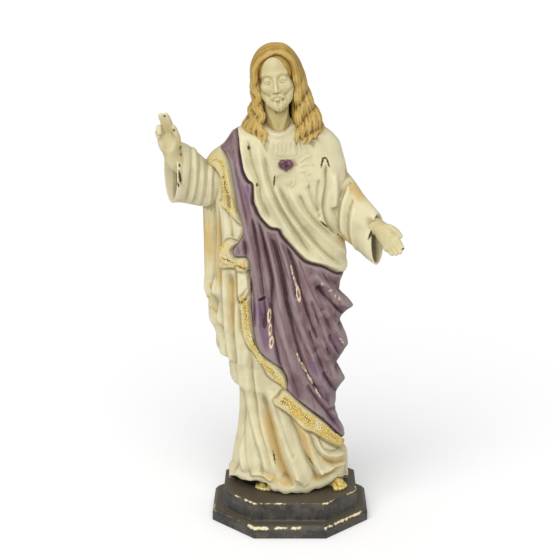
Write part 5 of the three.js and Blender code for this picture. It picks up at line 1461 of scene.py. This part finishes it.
def heart_paint():
    """Dull mauve paint, with painted shade nearly black between the knobs."""
    paint = Finish("Painted plaster heart", 0.6)
    # nearly black between the knobs is painted shade
    mauve = coated(paint.tree, "#74505a", ("#553743", paint.speck, 0.4, 0.6, 1),
                   ("#2a1a20", paint.cavity, 0.0, 0.5, 1))
    return paint.done(mauve, paint.speck)


def black_plinth_paint(settings):
    """Black paint on plaster, brown with handling, chipped to the cream plaster along its edges."""
    paint = Finish("Worn black paint", 0.5)
    tree, place = paint.tree, paint.place
    cloud, fray = [
        add_node(tree, "ShaderNodeTexNoise",
                 {"Vector": place, "Scale": scale, "Detail": detail}).outputs["Fac"]
        for scale, detail in ((CLOUD_SCALE, 5.0), (FRAY_SCALE, 3.0))]
    normal = add_node(tree, "ShaderNodeNewGeometry").outputs["Normal"]
    up = add_node(tree, "ShaderNodeSeparateXYZ", {0: normal}).outputs["Z"]
    arris, chip = [add_node(tree, "ShaderNodeAttribute", attribute_name=name).outputs["Fac"]
                   for name in ("arris", "chip")]
    rubbing, frayed = [
        add_node(tree, "ShaderNodeMath", {0: pattern, 1: slope, 2: start},
                 operation="MULTIPLY_ADD").outputs[0]
        for pattern, slope, start in ((cloud, 3.2, -1.2), (fray, 5.0, -2.5))]
    worn = add_node(tree, "ShaderNodeMath", {0: rubbing, 1: arris}, operation="SUBTRACT").outputs[0]
    depth = add_node(tree, "ShaderNodeMath", {0: chip, 1: frayed}, operation="ADD").outputs[0]
    # faces that turn upwards are painted a lighter brown
    black = coated(tree, settings.paint_colour, ("#423e38", paint.blotch, 0.4, 0.62, 1),
                   ("#4a443d", cloud, 0.52, 0.66, 1), ("#262323", cloud, 0.42, 0.34, 0.8),
                   ("#4d4638", up, 0.6, 0.95, 1), ("#7d7663", paint.speck, 0.66, 0.71, 0.8),
                   ("#7d7564", worn, -0.2, 0.4, 0.8), ("#988759", depth, -0.5, -0.1, 1),
                   ("#d3c9a2", depth, 0.0, 0.35, 1))
    return paint.done(black, cloud, 0.35, 0.4)


def union(body, parts):
    """Joins parts to a body as one closed skin, each keeping its own paint."""
    group = bpy.data.collections.new("parts to join")
    for part in parts:
        bpy.context.scene.collection.objects.unlink(part)
        group.objects.link(part)
    join = body.modifiers.new("Join", "BOOLEAN")
    join.operation = "UNION"
    join.solver = "MANIFOLD"
    join.operand_type = "COLLECTION"
    join.collection = group
    join.material_mode = "TRANSFER"
    before = len(body.data.polygons)
    settle(body)
    if len(body.data.polygons) <= before:
        raise RuntimeError("the parts of the figure could not be joined")
    for part in parts:
        bpy.data.objects.remove(part)
    bpy.data.collections.remove(group)
    return body


def hollow_depth(mesh):
    """How far each vertex lies below the smoothed surface around it: plus in hollows, minus on crests."""
    points = points_of(mesh)
    edges = np.empty(2 * len(mesh.edges), np.int32)
    mesh.edges.foreach_get("vertices", edges)
    a, b = edges.reshape(-1, 2).T
    count = np.bincount(a, minlength=len(points)) + np.bincount(b, minlength=len(points))
    soft = points.copy()
    for _ in range(SMOOTHING_ROUNDS):
        total = np.stack([np.bincount(a, soft[b, i], len(points)) + np.bincount(b, soft[a, i], len(points))
                          for i in range(3)], 1)
        soft = (1 - SMOOTHING) * soft + SMOOTHING * total / np.maximum(count, 1)[:, None]
    normals = np.empty(3 * len(points), np.float32)
    mesh.vertices.foreach_get("normal", normals)
    return np.einsum("ij,ij->i", soft - points, normals.reshape(-1, 3))


def set_attribute(mesh, name, values):
    """Keeps one number for each point on the mesh, for the paint to read."""
    layer = mesh.attributes.new(name, "FLOAT", "POINT")
    layer.data.foreach_set("value", values.astype(np.float32))


def paint_depths(mesh, carved, shift):
    """Distances of the painted edges, kept on the mesh for the paint to follow."""
    points = points_of(mesh)
    tree = tree_of(carved)
    nearest = np.array([tree.find(place)[1] for place in points])
    base = points + shift[nearest]
    x, y, z = base.T
    front = y < 0
    mauve_front, mauve_back = field_depth(MAUVE_FRONT, x, z), field_depth(MAUVE_BACK, x, z)
    mauve_back = np.where(x < MAUVE_WRAP[0], np.minimum(mauve_back, y - MAUVE_WRAP[1]), mauve_back)
    border_front = np.maximum.reduce([field_depth(border, x, z) for border in BORDERS])
    lower, _ = nearest_on(np.array(BACK_LOWER_EDGE, float), x, z)
    border_back = np.where(mauve_back > -2, BACK_BORDER_WIDTH - lower, -9)
    set_attribute(mesh, "mauve", np.where(front, mauve_front, mauve_back))
    set_attribute(mesh, "border", np.where(front, border_front, border_back))
    # ochre glazing along the grooves and valleys, which is also painted shade there
    set_attribute(mesh, "ochre", np.where(front, tint(OCHRE_GLAZE_AND_SHADE_LINES, x, z), 0))
    set_attribute(mesh, "violet", np.where(front, tint(VIOLET_LINES, x, z), 0))
    # painted shade: the hollow under the hem is painted near-black
    hem_x, hem_z = np.array(HEM_LINE, float).T
    hem = np.where(front, np.interp(points[:, 0], hem_x, hem_z), BACK_HEM)
    set_attribute(mesh, "under", smoothstep(hem - 0.6, hem - 1.6, points[:, 2]))
    set_attribute(mesh, "cavity", hollow_depth(mesh))


def tint(lines, x, z):
    """Strength of a tint that has gathered along lines and thins out to their ends: ochre glazing that also
    stands for painted shade, and violet.
    """
    strength = np.zeros(len(x))
    for reach, *line in lines:
        distance, share = nearest_on(smooth_run(line), x, z)
        ends = smoothstep(0, 0.2, share) * smoothstep(1, 0.8, share)
        strength = np.maximum(strength, 0.7 * ends * np.exp(-((distance / reach) ** 2)))
    return strength


class STATUE_OT_figure(bpy.types.Operator):
    """Makes the cast figure, joined into one skin and painted"""

    bl_idname = "statue.figure"
    bl_label = "Cast figure"

    def execute(self, context):
        settings = context.scene.statue_figure
        robe_paint = painted_robe(settings)
        # the cuffs' lining paint is a darker cream, as painted shade inside them
        cloth = [painted_cream("Painted plaster cloth", (settings.cream_colour, *CREAM_DULL_AND_GLAZE_SHADE)),
                 painted_cream("Painted plaster lining in painted shade", SHADED_LINING_TONES)]
        skin = painted_cream("Painted plaster skin", SKIN_TONES)
        # the throat takes a darker copy of the skin paint, as painted shade under the head
        throat = painted_cream("Painted plaster throat in painted shade", SHADED_THROAT_TONES)
        brown, gold, mauve = painted_hair(settings), gilt(settings), heart_paint()
        robe, carved, base = make_robe(settings, robe_paint)
        parts = [
            make_sleeve("raised_sleeve", RAISED_SLEEVE, RAISED_SLEEVE_FOLDS, cloth),
            make_sleeve("lowered_sleeve", LOWERED_SLEEVE, LOWERED_SLEEVE_FOLDS, cloth),
            make_head(skin), make_neck(throat), make_hair(settings, brown),
            make_raised_hand(skin), make_lowered_hand(skin),
            make_foot("left_foot", -33, -19, -0.1, 1, gold), make_foot("right_foot", 60, -18, 0.35, -1, gold),
            make_heart(mauve), make_relief(settings, carved, base, gold)]
        figure = sound(thinned(union(robe, parts), settings.facets))
        figure.name = "figure_cast"
        paint_depths(figure.data, carved.reshape(-1, 3), (base - carved).reshape(-1, 3))
        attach(figure, "root")
        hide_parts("figure")
        return {"FINISHED"}


def octagon_ring(half_width, half_depth, chamfer, z):
    """Ring of points round an octagon, equally many on each like side whatever its size."""
    flat_x, flat_y = half_width - chamfer, half_depth - chamfer
    corners = [(flat_x, -half_depth), (half_width, -flat_y), (half_width, flat_y), (flat_x, half_depth),
               (-flat_x, half_depth), (-half_width, flat_y), (-half_width, -flat_y), (-flat_x, -half_depth)]
    ring = []
    for i, (a, b) in enumerate(zip(corners, corners[1:] + corners[:1])):
        count = SIDE_FACETS[(0, 1, 0, 2)[i % 4]]
        for step in range(count):
            t = step / count
            ring.append((a[0] + (b[0] - a[0]) * t, a[1] + (b[1] - a[1]) * t, z))
    return np.array(ring)


class STATUE_OT_plinth(bpy.types.Operator):
    """Makes the stepped plinth with its worn edges"""

    bl_idname = "statue.plinth"
    bl_label = "Plinth"

    def execute(self, context):
        settings = context.scene.statue_plinth
        upper = (settings.upper_half_width / MM, settings.upper_half_depth / MM, UPPER_CHAMFER)
        lower = (PLINTH_HIGH[0], PLINTH_HIGH[1], LOWER_CHAMFER)
        step, top = settings.lower_height / MM, PLINTH_HIGH[2]
        profile = []
        # lower tier: its wall, its rounded edge, and its upper face as far as the upper tier
        for z in (0.0, 0.8, 3, 6, 9, step - LOWER_ROUNDING - 0.6):
            profile.append((lower, 0.6 if z == 0 else 0.0, z))
        for t in (0.12, 0.3, 0.5, 0.7, 0.88, 1.0):
            inset = LOWER_ROUNDING * t + 0.3 * math.sin(math.pi * t)
            profile.append((lower, inset, step - LOWER_ROUNDING + LOWER_ROUNDING * t))
        for t in (0.3, 0.6, 0.9):
            profile.append(((1 - t, lower, LOWER_ROUNDING, upper, 0.0), None, step))
        # upper tier: its wall, its rounded edge and its top
        for z in np.linspace(step + 0.8, top - 2.4, 12):
            profile.append((upper, 0.0, z))
        for t in (0.2, 0.45, 0.7, 1.0):
            inset = 1.8 * t - 0.4 * math.sin(math.pi * t)
            rise = UPPER_ROUNDING * math.sin(0.5 * math.pi * t)
            profile.append((upper, inset, top - UPPER_ROUNDING + rise))
        for inset in TOP_INSETS:
            profile.append((upper, inset, top))
        rings = []
        for shape, inset, z in profile:
            if inset is None:
                share, low, low_inset, high, high_inset = shape
                a = octagon_ring(low[0] - low_inset, low[1] - low_inset, low[2], z)
                b = octagon_ring(high[0] - high_inset, high[1] - high_inset, high[2], z)
                rings.append(a * share + b * (1 - share))
            else:
                chamfer = max(6, shape[2] - 0.6 * inset)
                rings.append(octagon_ring(shape[0] - inset, shape[1] - inset, chamfer, z))
        points, faces = loft(rings)
        plinth = make_object("plinth_cast", points, faces, [black_plinth_paint(settings)])
        self.wear(plinth.data, upper, lower, step, top, settings.chip_width / MM)
        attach(plinth, "root")
        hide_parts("plinth")
        return {"FINISHED"}

    def wear(self, mesh, upper, lower, step, top, reach):
        """Marks how far each point is from an edge, and where the paint has chipped off it."""
        x, y, z = points_of(mesh).T
        to_upper = np.hypot(np.maximum(0, octagon_depth(x, y, upper)), top - z)
        to_lower = np.abs(z - (step - 2)) + np.maximum(0, octagon_depth(x, y, lower) - 2)
        arris = np.minimum(to_upper, to_lower)
        chip = np.full(len(x), -9.0)
        for rows, away in ((UPPER_CHIPS, to_upper), (LOWER_CHIPS, to_lower)):
            for start, end, size in rows:
                ends = np.minimum(x - start, end - x)
                depth = np.minimum(0.5 * ends, size * reach / LARGEST_CHIP - away)
                chip = np.maximum(chip, np.where(y < CHIP_FRONT, depth, -9))
        set_attribute(mesh, "arris", arris)
        set_attribute(mesh, "chip", chip)


def octagon_depth(x, y, shape):
    """How far points lie inside an octagon's outline."""
    half_width, half_depth, chamfer = shape
    slant = (half_width + half_depth - chamfer - np.abs(x) - np.abs(y)) / math.sqrt(2)
    return np.minimum.reduce([half_width - np.abs(x), half_depth - np.abs(y), slant])


class STATUE_OT_stage(bpy.types.Operator):
    """Makes the floor, the light and the camera"""

    bl_idname = "statue.stage"
    bl_label = "Stage"

    def execute(self, context):
        settings = context.scene.statue_stage
        scene = context.scene
        scene.view_settings.view_transform = "Standard"
        self.floor()
        world = bpy.data.worlds.new("Even white surround")
        world.use_nodes = True
        back = world.node_tree.nodes["Background"]
        back.inputs["Color"].default_value = srgb("#ffffff")
        back.inputs["Strength"].default_value = settings.sky
        scene.world = world
        self.light(settings, KEY_PLACE)
        camera = bpy.data.cameras.new("camera")
        camera.sensor_width = SENSOR_WIDTH
        camera.lens = settings.focal
        camera.shift_x = CAMERA_SHIFT[0] / IMAGE_SIZE
        camera.shift_y = CAMERA_SHIFT[1] / IMAGE_SIZE
        eye = bpy.data.objects.new("camera", camera)
        eye.location = (0, -settings.distance, settings.height)
        eye.rotation_euler = (math.pi / 2 - settings.tilt, 0, 0)
        scene.collection.objects.link(eye)
        scene.camera = eye
        return {"FINISHED"}

    def floor(self):
        """White paper that reaches out of sight."""
        half = FLOOR_HALF
        points = np.array([(-half, -half, 0), (half, -half, 0), (half, half, 0), (-half, half, 0)])
        floor = make_object("floor", points, np.array([(0, 1, 2), (0, 2, 3)]))
        paper = bpy.data.materials.new("White studio paper")
        paper.use_nodes = True
        shader = paper.node_tree.nodes["Principled BSDF"]
        shader.inputs["Base Color"].default_value = srgb(PAPER_WHITE)
        shader.inputs["Roughness"].default_value = 0.9
        shader.inputs["Specular IOR Level"].default_value = 0.0
        floor.data.materials.append(paper)
        floor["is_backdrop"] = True

    def light(self, settings, place):
        """Broad light that comes from the direction of a place."""
        lamp = bpy.data.lights.new("key", "SUN")
        lamp.energy = settings.key_strength
        lamp.angle = settings.key_width
        stand = bpy.data.objects.new("key", lamp)
        stand.location = place
        stand.rotation_euler = (-Vector(place)).to_track_quat("-Z", "Y").to_euler()
        bpy.context.scene.collection.objects.link(stand)


class STATUE_PT_parts(bpy.types.Panel):
    """Lists the statue's pieces and their sizes"""

    bl_idname = "STATUE_PT_parts"
    bl_label = "Devotional statue"
    bl_space_type = "VIEW_3D"
    bl_region_type = "UI"
    bl_category = "Statue"

    def draw(self, context):
        for name in SETTINGS:
            box = self.layout.box()
            settings = getattr(context.scene, name)
            for entry in settings.__annotations__:
                box.prop(settings, entry)
            box.operator(name.replace("_", "."))


CLASSES = (FigureSettings, PlinthSettings, StageSettings, STATUE_OT_figure, STATUE_OT_plinth, STATUE_OT_stage,
           STATUE_PT_parts)
SETTINGS = {"statue_figure": FigureSettings, "statue_plinth": PlinthSettings, "statue_stage": StageSettings}


def register():
    """Adds the operators, the panel and the settings."""
    for made in CLASSES:
        bpy.utils.register_class(made)
    for name, group in SETTINGS.items():
        setattr(bpy.types.Scene, name, bpy.props.PointerProperty(type=group))


def unregister():
    """Takes them away again."""
    for name in SETTINGS:
        delattr(bpy.types.Scene, name)
    for made in reversed(CLASSES):
        bpy.utils.unregister_class(made)


def corners(bounds):
    """Bounds as plain lists."""
    return [list(corner) for corner in bounds]


def main():
    """Makes the stage, the plinth and the figure."""
    cad_box = corners(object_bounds())
    register()
    bpy.ops.statue.stage()
    bpy.ops.statue.plinth()
    bpy.ops.statue.figure()
    {"cad": cad_box, "visual": corners(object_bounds())}


if __name__ == "__main__":
    main()
